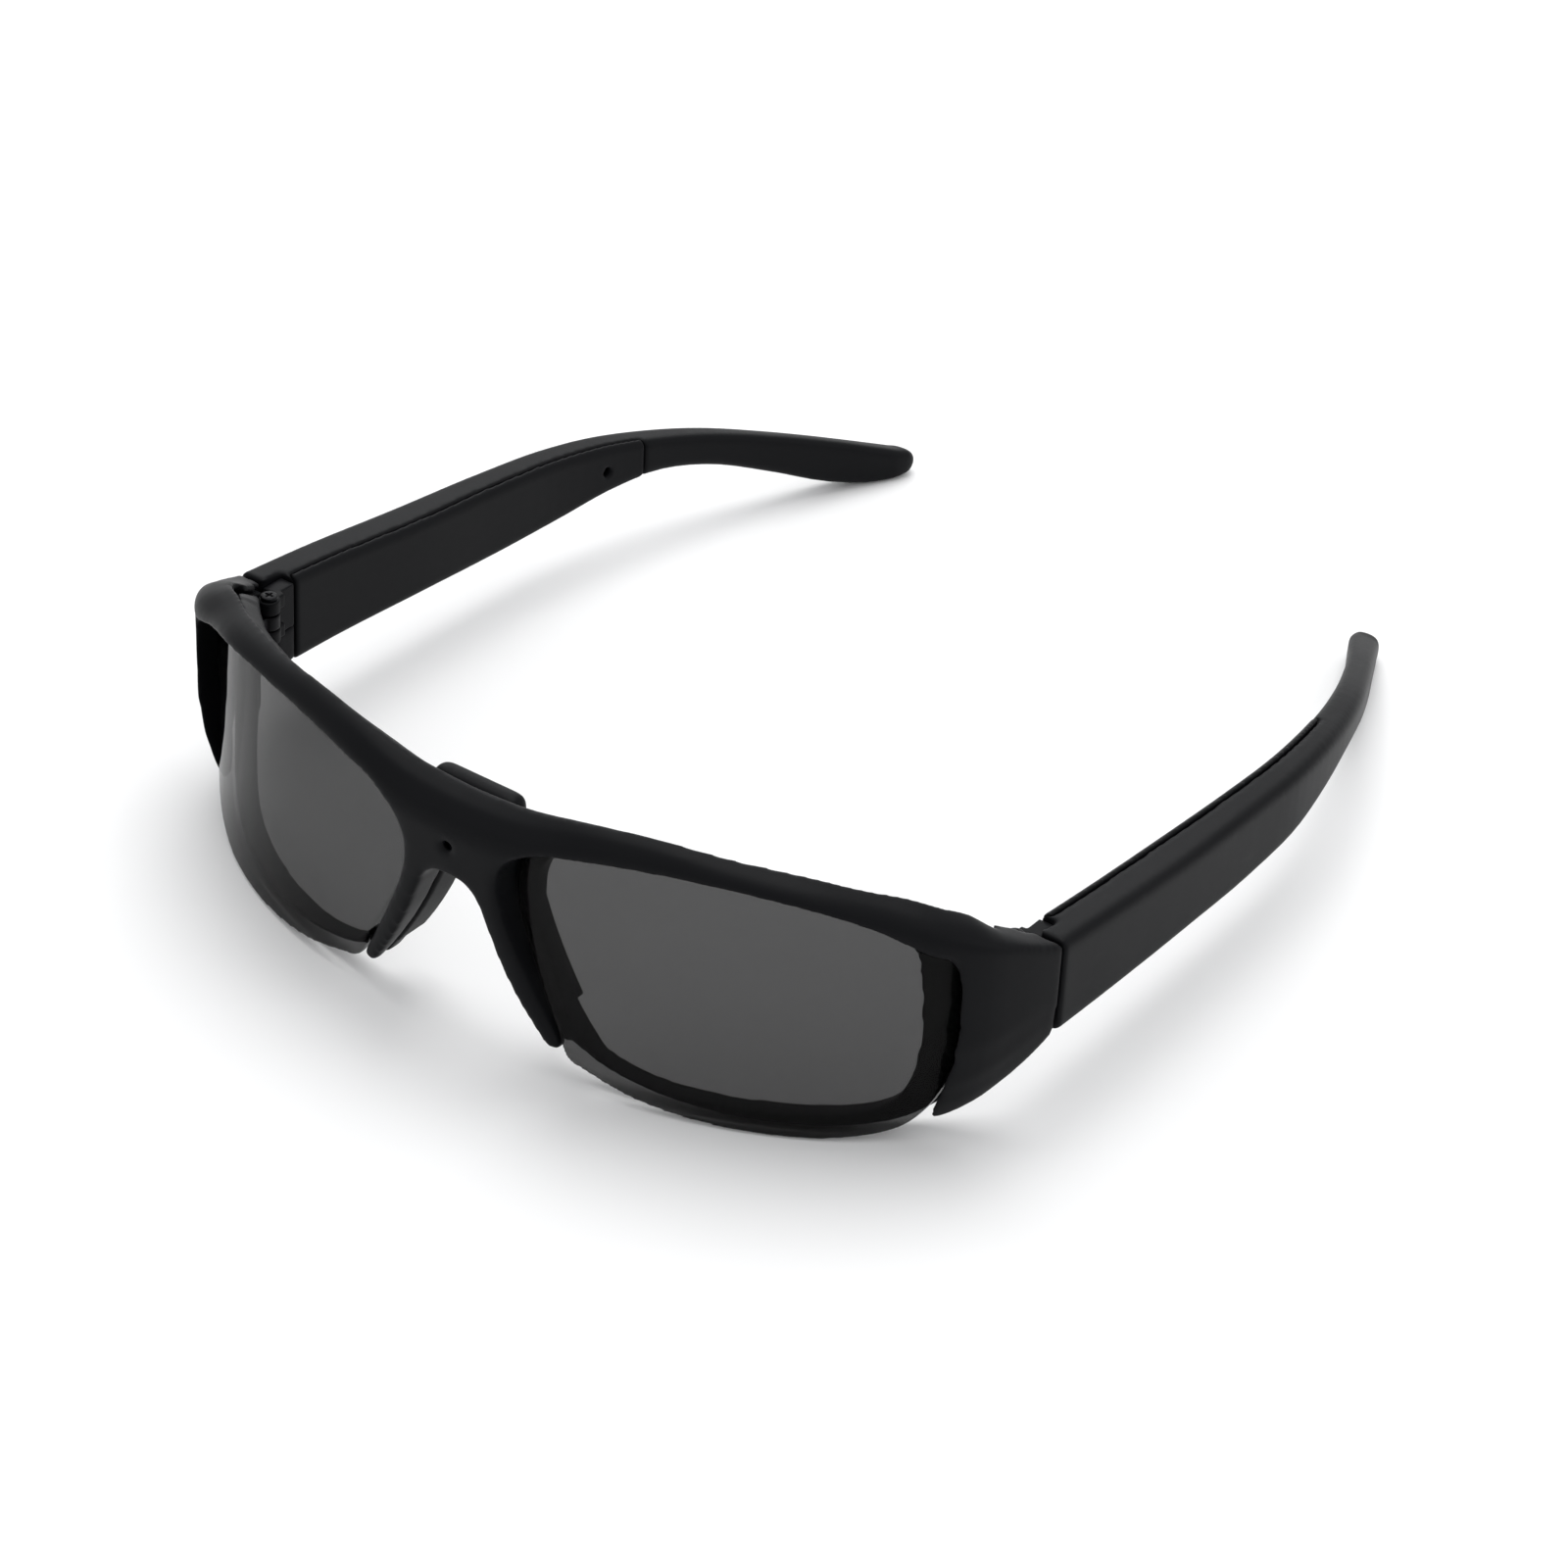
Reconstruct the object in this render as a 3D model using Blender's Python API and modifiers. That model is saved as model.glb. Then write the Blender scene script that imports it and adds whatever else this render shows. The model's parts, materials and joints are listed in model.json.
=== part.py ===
"""Smart glasses: wrap frame with a camera in the bridge, tinted lenses and folding temples.

Run with: blender --background --python part.py
Sizes are millimetres in the design and become metres where a mesh is made. +X is the wearer's
left, +Y runs back along the temples and +Z is up. y = 0 is the seam between frame and temples,
and z = 0 is the surface that the folded-open glasses rest on.
"""
import math

import bmesh
import bpy
import numpy as np
from mathutils import Matrix, Vector

MM = 0.001

# --- Overall sizes ---------------------------------------------------------------------------
HALF_WIDTH = 72.9
WRAP_DEPTH = 40.5
FRAME_HEIGHT = 42.2
TEMPLE_LENGTH = 132.0
HINGE_TOP = 28.2

# --- Fits ------------------------------------------------------------------------------------
GAP = 0.3
SEAM_GAP = 0.3
HINGE_CLEARANCE = 0.45
SLIDE_CLEARANCE = 0.25

# --- Front: plan curve of the brow's face, heights along it ----------------------------------
# Shares of half width and wrap depth, from the bridge to the hinge seam.
BROW_PLAN = ((0.0, 1.0), (0.138, 0.990), (0.275, 0.941), (0.413, 0.874), (0.551, 0.795),
             (0.689, 0.691), (0.799, 0.558), (0.896, 0.442), (0.947, 0.321), (0.978, 0.168), (1.0, 0.0),
             (1.010, -0.10))
# Height of the shoulder (top of the upright face) and of the crest, as shares of FRAME_HEIGHT.
SHOULDER_HEIGHTS = (0.820, 0.832, 0.890, 0.924, 0.932, 0.905, 0.845, 0.805, 0.765, 0.725, 0.664,
                    0.640)
CREST_HEIGHTS = (0.937, 0.950, 0.988, 1.0, 0.984, 0.960, 0.918, 0.873, 0.828, 0.737, 0.667,
                 0.643)
CREST_OFFSETS = (5.6, 5.3, 4.0, 3.8, 4.3, 4.9, 5.3, 5.6, 5.7, 5.7, 5.7, 5.7)
BROW_STATIONS = 46
LUG_STATIONS = 41
FACE_LEAN = 0.058
FASCIA_WALL = 1.8
FASCIA_TOP_SKIN = 1.5
CREST_FALL = 0.75

# --- Endpiece (side wall between the lens and the hinge seam) --------------------------------
ENDPIECE_FRONT = 16.2
ENDPIECE_UNDERCUT = 3.9
UNDERCUT_START = 19.0
# Lower edge of the endpiece as (distance in front of the seam, height).
ENDPIECE_LOW_EDGE = ((16.5, 2.9), (9.8, 6.2), (4.6, 9.9), (1.5, 12.4), (0.0, 13.7))
ENDPIECE_BLEND = (0.72, 0.88)
RECESS_BACK = 10.0
LUG_FRONT = 9.0
LUG_EXTRA = 0.8
LUG_CORNER = ((65.6, -10.5, -5.0), (75.0, -5.5, 11.6))

# --- Lens ------------------------------------------------------------------------------------
# The lens lies on a cylinder: its plan arc is given by shares of half width and wrap depth.
LENS_ARC_CENTRE = (0.166, 0.858)
LENS_ARC_RADIUS = (0.988, 1.778)
LENS_LEAN_DEG = 2.5
LENS_THICKNESS = 2.0
REAR_FRAME_DEPTH = 3.2
REAR_SPACE_END = 51.0
REAR_FRAME_END = 53.0
REAR_TOP_DROP = 2.2
REAR_TOP_FALL = 0.75
REAR_TOP_BLEND = (0.82, 0.92)
# Outline points as (share of half width, share of frame height).
OPENING_OUTLINE = ((0.240, 0.135), (0.215, 0.212), (0.174, 0.353), (0.136, 0.494), (0.115, 0.600),
                   (0.110, 0.700), (0.126, 0.777), (0.176, 0.845), (0.283, 0.888), (0.427, 0.914),
                   (0.565, 0.917), (0.700, 0.892), (0.820, 0.810), (0.882, 0.755))
RECESS_OUTLINE = ((0.700, 0.710), (0.840, 0.735), (0.882, 0.732), (0.911, 0.700), (0.918, 0.620),
                  (0.919, 0.480), (0.911, 0.340), (0.892, 0.220), (0.868, 0.110), (0.840, -0.200),
                  (0.700, -0.210))
OPENING_CORNER = (0.990, 0.690)
LENS_OUTLINE = ((0.252, 0.106), (0.300, 0.076), (0.390, 0.036), (0.500, 0.012), (0.640, 0.0),
                (0.740, 0.010), (0.820, 0.047), (0.858, 0.112), (0.884, 0.220), (0.903, 0.340),
                (0.911, 0.480), (0.910, 0.620), (0.900, 0.730), (0.860, 0.800), (0.800, 0.850),
                (0.700, 0.915), (0.565, 0.940), (0.427, 0.940), (0.283, 0.912), (0.190, 0.870), (0.140, 0.800),
                (0.119, 0.705), (0.124, 0.600), (0.145, 0.496), (0.183, 0.356), (0.224, 0.214))
WINDOW_OUTLINE = ((0.264, 0.155), (0.300, 0.098), (0.400, 0.058), (0.520, 0.048), (0.640, 0.052),
                  (0.740, 0.068), (0.795, 0.115), (0.822, 0.220), (0.828, 0.380), (0.822, 0.560),
                  (0.808, 0.690), (0.765, 0.775), (0.690, 0.830), (0.565, 0.870), (0.427, 0.872),
                  (0.283, 0.850), (0.200, 0.805), (0.150, 0.720), (0.136, 0.600), (0.152, 0.500),
                  (0.178, 0.420), (0.200, 0.320), (0.228, 0.225))
RIM_OUTLINE = ((0.236, 0.128), (0.300, 0.080), (0.390, 0.042), (0.500, 0.018), (0.640, 0.007),
               (0.740, 0.018), (0.820, 0.055), (0.868, 0.120), (0.900, 0.175), (0.955, 0.245),
               (1.030, 0.300))
NOSE_GAP_OUTLINE = ((0.0, 0.655), (0.035, 0.645), (0.060, 0.612), (0.079, 0.541), (0.113, 0.400),
                    (0.156, 0.259), (0.209, 0.118))
ARM_TIP = (0.232, 0.113)

# --- Nose pads -------------------------------------------------------------------------------
PAD_THICKNESS = 1.9
PAD_BACK = 28.5
PAD_LOW = 0.17
PAD_HIGH = 0.560

# --- Camera ----------------------------------------------------------------------------------
CAMERA_HEIGHT = 32.4
CAMERA_HOLE_RADIUS = 0.75
CAMERA_WINDOW_RADIUS = 2.2
CAMERA_WINDOW_THICKNESS = 0.6
CAMERA_BARREL_RADIUS = 2.0
CAMERA_BARREL_LENGTH = 2.4
CAMERA_BOARD = (7.0, 1.0, 6.0)
CAMERA_SKIN = 1.2
HOUSING_SPAN = (-9.0, 5.9)
HOUSING_TOP = 38.1
HOUSING_LOW = 31.8
HOUSING_BACK = 29.4
HOUSING_CORNER = 1.6
HOUSING_START = 7.1
RIBBON_WIDTH = 1.3
RIBBON_THICKNESS = 0.35
RIBBON_SET = 0.5
RIBBON_DROP = 4.1
RIBBON_START = -2.2
RIBBON_END = 40.0

# --- Hinge -----------------------------------------------------------------------------------
HINGE_AXIS_INSET = 7.1
HINGE_AXIS_FORWARD = 1.5
KNUCKLE_RADIUS = 1.65
HINGE_PIN_RADIUS = 0.6
KNUCKLE_TOP_DROP = 1.1
KNUCKLE_HEIGHT = 2.2
LEAF_THICKNESS = 1.5
LEAF_LENGTH = 4.6
LEAF_DEPTH = 2.6
ARM_HALF = 0.8
LEAF_HEAD_RADIUS = 1.3
HINGE_HEAD_HEIGHT = 0.5
SLOT_WIDTH = 0.9
SLOT_LENGTH = 5.0
SLOT_DEPTH = 4.0

# --- Temple: stations along its length -------------------------------------------------------
# Share of TEMPLE_LENGTH from the seam, then outer face as a share of half width, thickness,
# height of the top and height of the bottom edge.
TEMPLE_STATIONS = (
    (0.0, 1.000, 7.0, 28.4, 13.6),
    (0.10, 1.000, 7.0, 27.1, 13.2),
    (0.25, 0.993, 7.0, 24.9, 12.3),
    (0.40, 0.980, 6.4, 23.2, 11.3),
    (0.50, 0.966, 6.1, 21.9, 11.4),
    (0.58, 0.941, 5.8, 20.5, 12.4),
    (0.65, 0.908, 5.5, 18.7, 12.6),
    (0.73, 0.857, 5.1, 16.2, 10.4),
    (0.81, 0.793, 4.7, 12.9, 6.1),
    (0.89, 0.724, 4.6, 9.2, 1.5),
    (0.94, 0.681, 5.0, 6.7, 0.1),
    (0.975, 0.652, 4.9, 4.9, 0.1),
    (0.992, 0.637, 3.9, 4.0, 0.6),
    (1.0, 0.622, 2.0, 3.0, 1.4),
)
TEMPLE_RINGS = 46
TEMPLE_EDGE_RADIUS = 1.3
COVER_THICKNESS = 1.2
COVER_END = 0.625
COVER_START = 4.4
TEMPLE_WALL = 1.3
CAVITY_START = 8.0
CAVITY_END = 79.0

# --- Electronics -----------------------------------------------------------------------------
BATTERY = (2.9, 38.0, 6.4)
MAIN_BOARD = (0.8, 34.0, 4.4)
CHARGE_BOARD = (0.8, 6.5, 6.0)
PROCESSOR = (1.0, 8.0, 4.0)
MEMORY_CHIP = (0.9, 6.0, 3.6)
BATTERY_Y = 30.0
BOARD_Y = 30.0
BOARD_SHIFT = 1.2
BOARD_RISE = 1.35
CHARGE_BOARD_Y = 54.0
MICROPHONE_RADIUS = 1.6
MICROPHONE_THICKNESS = 1.0
MICROPHONE_HOLE_RADIUS = 0.85
MICROPHONE_Y = 75.0
MICROPHONE_Z = 16.4
BUTTON_LENGTH = 8.0
BUTTON_WIDTH = 2.6
BUTTON_PROUD = 0.6
BUTTON_HEIGHT = 2.9
BUTTON_TRAVEL = 0.4
BUTTON_FLANGE = 0.6
BUTTON_Y = 30.0
SWITCH = (2.2, 3.0, 1.2)
SWITCH_GAP = 0.1
LIGHT_RADIUS = 0.7
LIGHT_Y = 42.0
PORT_LENGTH = 7.4
PORT_WIDTH = 2.5
PORT_DEPTH = 5.0
PORT_SHELL = 0.4
PORT_Y = 62.0
TONGUE = (0.6, 4.6, 3.2)
SCREW_RADIUS = 0.8
SCREW_HEAD_RADIUS = 1.4
SCREW_HEAD_HEIGHT = 0.9
SCREW_LENGTH = 4.6
FRAME_SCREW_X = 5.2
FRAME_SCREW_Z = 29.5

ORIGIN_Y = (WRAP_DEPTH - TEMPLE_LENGTH) / 2

PARTS = None
CUTTERS = None


# --- Plain helpers ---------------------------------------------------------------------------
def smooth(knots, values, at):
    """Smooth curve through the values, read at one or many places (cubic Hermite)."""
    knots = np.asarray(knots, float)
    values = np.asarray(values, float)
    slopes = np.gradient(values, knots)
    at = np.atleast_1d(np.asarray(at, float))
    index = np.clip(np.searchsorted(knots, at, side="right") - 1, 0, len(knots) - 2)
    step = knots[index + 1] - knots[index]
    share = np.clip((at - knots[index]) / step, 0.0, 1.0)
    square, cube = share ** 2, share ** 3
    return ((2 * cube - 3 * square + 1) * values[index]
            + (cube - 2 * square + share) * step * slopes[index]
            + (3 * square - 2 * cube) * values[index + 1]
            + (cube - square) * step * slopes[index + 1])


def ramp(value, start, end):
    share = min(max((value - start) / (end - start), 0.0), 1.0)
    return share * share * (3 - 2 * share)


def closed_outline(points, steps=5):
    """Smooth closed outline through a few points (Catmull-Rom)."""
    count = len(points)
    result = []
    for index in range(count):
        before, start, end, after = (np.array(points[(index + k) % count]) for k in (-1, 0, 1, 2))
        for step in range(steps):
            t = step / steps
            result.append(tuple(0.5 * (2 * start + (end - before) * t
                                       + (2 * before - 5 * start + 4 * end - after) * t ** 2
                                       + (3 * start - before - 3 * end + after) * t ** 3)))
    return result


def open_outline(points, steps=4):
    """Smooth open outline through a few points."""
    points = np.asarray(points, float)
    knots = np.concatenate([[0], np.cumsum(np.hypot(*np.diff(points, axis=0).T))])
    at = np.concatenate([np.linspace(knots[i], knots[i + 1], steps, endpoint=False)
                         for i in range(len(knots) - 1)] + [knots[-1:]])
    return list(zip(smooth(knots, points[:, 0], at), smooth(knots, points[:, 1], at)))


def frame_points(shares):
    """Outline given as shares of half width and frame height, in millimetres."""
    return [(u * HALF_WIDTH, v * FRAME_HEIGHT) for u, v in shares]


def new_object(name, mesh, collection):
    obj = bpy.data.objects.new(name, mesh)
    collection.objects.link(obj)
    return obj


def mesh_object(name, vertices, faces, collection=None):
    """Object from millimetre vertices, with outward faces."""
    mesh = bpy.data.meshes.new(name)
    mesh.from_pydata([tuple(c * MM for c in v) for v in vertices], [], faces)
    bm = bmesh.new()
    bm.from_mesh(mesh)
    bmesh.ops.remove_doubles(bm, verts=bm.verts, dist=1e-7)
    bmesh.ops.recalc_face_normals(bm, faces=bm.faces)
    bm.to_mesh(mesh)
    bm.free()
    return new_object(name, mesh, collection or PARTS)


def loft(name, rings, collection=None, cap_start=True, cap_end=True):
    """Solid through rings of equal length."""
    size = len(rings[0])
    vertices = [tuple(point) for ring in rings for point in ring]
    faces = []
    for row in range(len(rings) - 1):
        for k in range(size):
            a, b = row * size + k, row * size + (k + 1) % size
            faces.append((a, b, b + size, a + size))
    if cap_start:
        faces.append(tuple(reversed(range(size))))
    if cap_end:
        faces.append(tuple(range((len(rings) - 1) * size, len(rings) * size)))
    return mesh_object(name, vertices, faces, collection)


def prism(name, outline, start, end, axis="Y", collection=None):
    """Flat outline extruded along an axis: (x, z) along Y, (x, y) along Z or (y, z) along X."""
    curve = bpy.data.curves.new(name, "CURVE")
    curve.dimensions = "2D"
    curve.fill_mode = "BOTH"
    curve.extrude = abs(end - start) / 2 * MM
    spline = curve.splines.new("POLY")
    spline.points.add(len(outline) - 1)
    for point, (u, v) in zip(spline.points, outline):
        point.co = (u * MM, v * MM, 0, 1)
    spline.use_cyclic_u = True
    flat = new_object(name + "_outline", curve, PARTS)
    middle = (start + end) / 2 * MM
    if axis == "Y":
        flat.matrix_world = Matrix(((1, 0, 0, 0), (0, 0, -1, middle), (0, 1, 0, 0), (0, 0, 0, 1)))
    elif axis == "X":
        flat.matrix_world = Matrix(((0, 0, 1, middle), (1, 0, 0, 0), (0, 1, 0, 0), (0, 0, 0, 1)))
    else:
        flat.matrix_world = Matrix.Translation((0, 0, middle))
    bpy.context.view_layer.update()
    mesh = bpy.data.meshes.new_from_object(flat.evaluated_get(bpy.context.evaluated_depsgraph_get()))
    mesh.name = name
    bm = bmesh.new()
    bm.from_mesh(mesh)
    bm.transform(flat.matrix_world)
    bmesh.ops.remove_doubles(bm, verts=bm.verts, dist=1e-7)
    bmesh.ops.recalc_face_normals(bm, faces=bm.faces)
    bm.to_mesh(mesh)
    bm.free()
    bpy.data.objects.remove(flat)
    bpy.data.curves.remove(curve)
    return new_object(name, mesh, collection or PARTS)


def block(name, low, high, bevel=0.0, segments=2, collection=None):
    """Box between two corners, with rounded edges if a bevel is given."""
    mesh = bpy.data.meshes.new(name)
    bm = bmesh.new()
    bmesh.ops.create_cube(bm, size=1.0)
    size = [(b - a) * MM for a, b in zip(low, high)]
    centre = [(a + b) / 2 * MM for a, b in zip(low, high)]
    bmesh.ops.scale(bm, vec=size, verts=bm.verts)
    bmesh.ops.translate(bm, vec=centre, verts=bm.verts)
    bm.to_mesh(mesh)
    bm.free()
    obj = new_object(name, mesh, collection or PARTS)
    if bevel:
        rounding = obj.modifiers.new("rounding", "BEVEL")
        rounding.width = bevel * MM
        rounding.segments = segments
    return obj


def rod(name, radius, start, end, sides=20, end_radius=None, collection=None):
    """Cylinder or cone frustum between two points."""
    start, end = Vector(start), Vector(end)
    direction = end - start
    mesh = bpy.data.meshes.new(name)
    bm = bmesh.new()
    bmesh.ops.create_cone(bm, cap_ends=True, segments=sides, radius1=radius * MM,
                          radius2=(radius if end_radius is None else end_radius) * MM,
                          depth=direction.length * MM)
    turn = Vector((0, 0, 1)).rotation_difference(direction).to_matrix().to_4x4()
    bm.transform(Matrix.Translation((start + end) / 2 * MM) @ turn)
    bm.to_mesh(mesh)
    bm.free()
    return new_object(name, mesh, collection or PARTS)


def combine(target, tool, operation):
    """Boolean with a tool that moves to the cutters collection."""
    for collection in list(tool.users_collection):
        collection.objects.unlink(tool)
    CUTTERS.objects.link(tool)
    tool.hide_render = True
    tool.display_type = "WIRE"
    step = target.modifiers.new(operation.lower() + "_" + tool.name, "BOOLEAN")
    step.operation = operation
    step.solver = "EXACT"
    step.object = tool
    return target


def cut(target, *tools):
    for tool in tools:
        combine(target, tool, "DIFFERENCE")
    return target


def join(target, *tools):
    for tool in tools:
        combine(target, tool, "UNION")
    return target


def mirror_half(obj):
    step = obj.modifiers.new("other half", "MIRROR")
    step.use_axis[0] = True
    step.merge_threshold = 0.00001
    return obj


def side_sign(side):
    return 1 if side == "left" else -1


def flip_to(obj, side):
    """Mirror a piece made for the left side over to the right."""
    if side == "left":
        return obj
    obj.data.transform(Matrix.Scale(-1, 4, (1, 0, 0)))
    obj.data.flip_normals()
    return obj


def material(name, colour, roughness, metallic=0.0):
    made = bpy.data.materials.get(name)
    if made is None:
        made = bpy.data.materials.new(name)
        made.use_nodes = True
        shader = made.node_tree.nodes["Principled BSDF"]
        shader.inputs["Base Color"].default_value = (*colour, 1)
        shader.inputs["Roughness"].default_value = roughness
        shader.inputs["Metallic"].default_value = metallic
        made.diffuse_color = (*colour, 1)
    return made


MATERIALS = {
    "frame": ((0.018, 0.019, 0.021), 0.48, 0.0),
    "lens": ((0.03, 0.03, 0.033), 0.06, 0.0),
    "pad": ((0.02, 0.021, 0.023), 0.55, 0.0),
    "steel": ((0.12, 0.12, 0.13), 0.35, 1.0),
    "board": ((0.02, 0.09, 0.04), 0.5, 0.0),
    "cell": ((0.45, 0.46, 0.48), 0.4, 0.6),
    "chip": ((0.02, 0.02, 0.02), 0.4, 0.0),
    "ribbon": ((0.35, 0.16, 0.03), 0.4, 0.0),
    "glass": ((0.02, 0.02, 0.025), 0.05, 0.0),
    "light": ((0.6, 0.65, 0.7), 0.3, 0.0),
}


def dress(obj, key):
    obj.data.materials.clear()
    obj.data.materials.append(material(key, *MATERIALS[key]))
    return obj


# --- Frame surfaces --------------------------------------------------------------------------
def brow_curve(count=BROW_STATIONS):
    """Places, inward normals and station shares along the brow's face, bridge to seam."""
    points = np.array([(u * HALF_WIDTH, -v * WRAP_DEPTH) for u, v in BROW_PLAN])
    knots = np.concatenate([[0], np.cumsum(np.hypot(*np.diff(points, axis=0).T))])
    at = np.linspace(0, knots[-1], count)
    x, y = smooth(knots, points[:, 0], at), smooth(knots, points[:, 1], at)
    x[0] = 0.0
    tangent = np.stack([np.gradient(x, at), np.gradient(y, at)], 1)
    tangent[0] = (1, 0)
    tangent /= np.linalg.norm(tangent, axis=1)[:, None]
    normals = np.stack([-tangent[:, 1], tangent[:, 0]], 1)
    heights = [smooth(knots, np.array(v) * k, at)
               for v, k in ((SHOULDER_HEIGHTS, FRAME_HEIGHT), (CREST_HEIGHTS, FRAME_HEIGHT), (CREST_OFFSETS, 1))]
    return list(zip(x, y, normals[:, 0], normals[:, 1], *heights))


def lens_arc_y(x, depth):
    """Plan position behind the lens's front at height zero."""
    radius_x = LENS_ARC_RADIUS[0] * HALF_WIDTH - depth
    radius_y = LENS_ARC_RADIUS[1] * WRAP_DEPTH - depth
    share = min((x - LENS_ARC_CENTRE[0] * HALF_WIDTH) / radius_x, 1.0)
    return LENS_ARC_CENTRE[1] * WRAP_DEPTH - radius_y * math.sqrt(1 - share * share)


def lens_point(angle, depth, z):
    radius_x = LENS_ARC_RADIUS[0] * HALF_WIDTH - depth
    radius_y = LENS_ARC_RADIUS[1] * WRAP_DEPTH - depth
    return (LENS_ARC_CENTRE[0] * HALF_WIDTH + radius_x * math.sin(angle),
            LENS_ARC_CENTRE[1] * WRAP_DEPTH - radius_y * math.cos(angle)
            + z * math.tan(math.radians(LENS_LEAN_DEG)), z)


def lens_slab(name, front, back, start_deg, end_deg, low, high, steps=30, collection=None, plane=False):
    """Curved slab between two depths behind the lens's front surface."""
    rings = []
    for angle in np.radians(np.linspace(start_deg, end_deg, steps)):
        rings.append([lens_point(angle, front, low), lens_point(angle, back, low),
                      lens_point(angle, back, high), lens_point(angle, front, high)])
    if plane:
        rings[0] = [(0.0, y, z) for x, y, z in rings[0]]
    return loft(name, rings, collection, cap_start=not plane)


def centre_angle(depth):
    """Angle, in degrees, at which the slab reaches the middle plane of the glasses."""
    radius_x = LENS_ARC_RADIUS[0] * HALF_WIDTH - depth
    return math.degrees(math.asin(-LENS_ARC_CENTRE[0] * HALF_WIDTH / radius_x))


def endpiece_low(y):
    """Lower edge of the endpiece, rising towards the hinge."""
    edge = ENDPIECE_LOW_EDGE[::-1]
    return float(np.interp(-y, [ahead for ahead, _ in edge], [height for _, height in edge]))


def face_inset(x, z, shoulder):
    """How far the face lies behind the plan curve at a height."""
    side = ramp(x / HALF_WIDTH, *ENDPIECE_BLEND)
    lean = FACE_LEAN * max(shoulder - z, 0.0)
    drop = max(UNDERCUT_START - z, 0.0) / (UNDERCUT_START - ENDPIECE_LOW_EDGE[0][1])
    return (1 - side) * lean + side * ENDPIECE_UNDERCUT * drop ** 2


def face_levels(x, y, shoulder):
    """Heights at which the face is sampled, from the shoulder down."""
    side = ramp(x / HALF_WIDTH, *ENDPIECE_BLEND)
    low = (1 - side) * 2.0 + side * endpiece_low(y)
    return [shoulder + (low - shoulder) * share for share in (0.0, 0.3, 0.55, 0.75, 0.9, 1.0)]


def fascia_ring(station):
    x, y, nx, ny, shoulder, crest, offset = station
    levels = face_levels(x, y, shoulder)
    ring = []
    for z in levels:
        inset = face_inset(x, z, shoulder)
        ring.append((x + nx * inset, y + ny * inset, z))
    ring.reverse()
    ring.append((x + nx * 0.12 * offset, y + ny * 0.12 * offset, shoulder + 0.42 * (crest - shoulder)))
    ring.append((x + nx * 0.45 * offset, y + ny * 0.45 * offset, shoulder + 0.80 * (crest - shoulder)))
    ring.append((x + nx * offset, y + ny * offset, crest))
    run = 1.2 * (1 - ramp(x / HALF_WIDTH, 0.3, 0.75))
    back = offset + run
    ring.append((x + nx * back, y + ny * back, crest - CREST_FALL * run - 0.3))
    ring.append((x + nx * back, y + ny * back, levels[-1]))
    return ring


def front_shell():
    """Outer front piece: brow, bridge, nose arms and endpiece walls."""
    stations = brow_curve()
    shell = loft("front_shell", [fascia_ring(s) for s in stations], cap_start=False)
    mirror_half(shell)
    cut(shell, seam_cut("seam_in_shell"), nose_gap("nose_gap_in_shell", 0.0), rear_space())
    for side in ("left", "right"):
        cut(shell, lens_opening(side), lens_recess(side), lens_pocket("lens_pocket_in_shell_", side))
        cut(shell, endpiece_pocket(side), hinge_notch("hinge_notch_in_shell_", side), hinge_slot(side))
        cut(shell, frame_screw_hole("shell", side))
    cut(shell, camera_space())
    return dress(shell, "frame")


def nose_gap(name, clearance, low=-8.0):
    """Cutter below the bridge, between the nose arms."""
    half = open_outline(frame_points(NOSE_GAP_OUTLINE))
    tip = frame_points([ARM_TIP])[0]
    half += [tip, (tip[0] + 0.2, low)]
    outline = [(u, v) for u, v in half] + [(-u, v) for u, v in reversed(half[1:])]
    return prism(name, outline, -WRAP_DEPTH - 20, 20)


def lens_opening(side):
    """Cutter for the open face in front of a lens, ending at the endpiece's front edge."""
    curve = open_outline(frame_points(OPENING_OUTLINE))
    tip = frame_points([ARM_TIP])[0]
    corner = frame_points([OPENING_CORNER])[0]
    outline = [(tip[0], -8.0), tip] + curve + [corner, (corner[0] + 8, corner[1]), (corner[0] + 8, -8.0)]
    cutter = prism("lens_opening_" + side, outline, -WRAP_DEPTH - 20, -ENDPIECE_FRONT)
    return flip_to(cutter, side)


def lens_recess(side):
    """Cutter for the outer wall of the opening, from the endpiece's front edge down to the lens."""
    outline = frame_points(RECESS_OUTLINE)
    return flip_to(prism("lens_recess_" + side, outline, -WRAP_DEPTH - 25, -RECESS_BACK), side)


def grown(outline, distance):
    """Outline moved outwards by a distance."""
    points = np.array(outline)
    tangent = np.roll(points, -1, axis=0) - np.roll(points, 1, axis=0)
    tangent /= np.linalg.norm(tangent, axis=1)[:, None]
    area = np.sum(points[:, 0] * np.roll(points[:, 1], -1) - np.roll(points[:, 0], -1) * points[:, 1])
    outward = np.stack([tangent[:, 1], -tangent[:, 0]], 1) * (1 if area > 0 else -1)
    return [tuple(p) for p in points + outward * distance]


def lens_pocket(name, side):
    """Cutter for the space that a lens takes, with its clearance, open to the back."""
    outline = grown(closed_outline(frame_points(LENS_OUTLINE)), GAP)
    cutter = prism(name + side, outline, -WRAP_DEPTH - 20, 12)
    slab = lens_slab(name + "depth_" + side, -GAP, LENS_THICKNESS + 2 * GAP, -10, 60, -6, FRAME_HEIGHT + 6)
    combine(cutter, slab, "INTERSECT")
    if side == "right":
        for obj in (cutter, slab):
            flip_to(obj, side)
    return cutter


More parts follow.
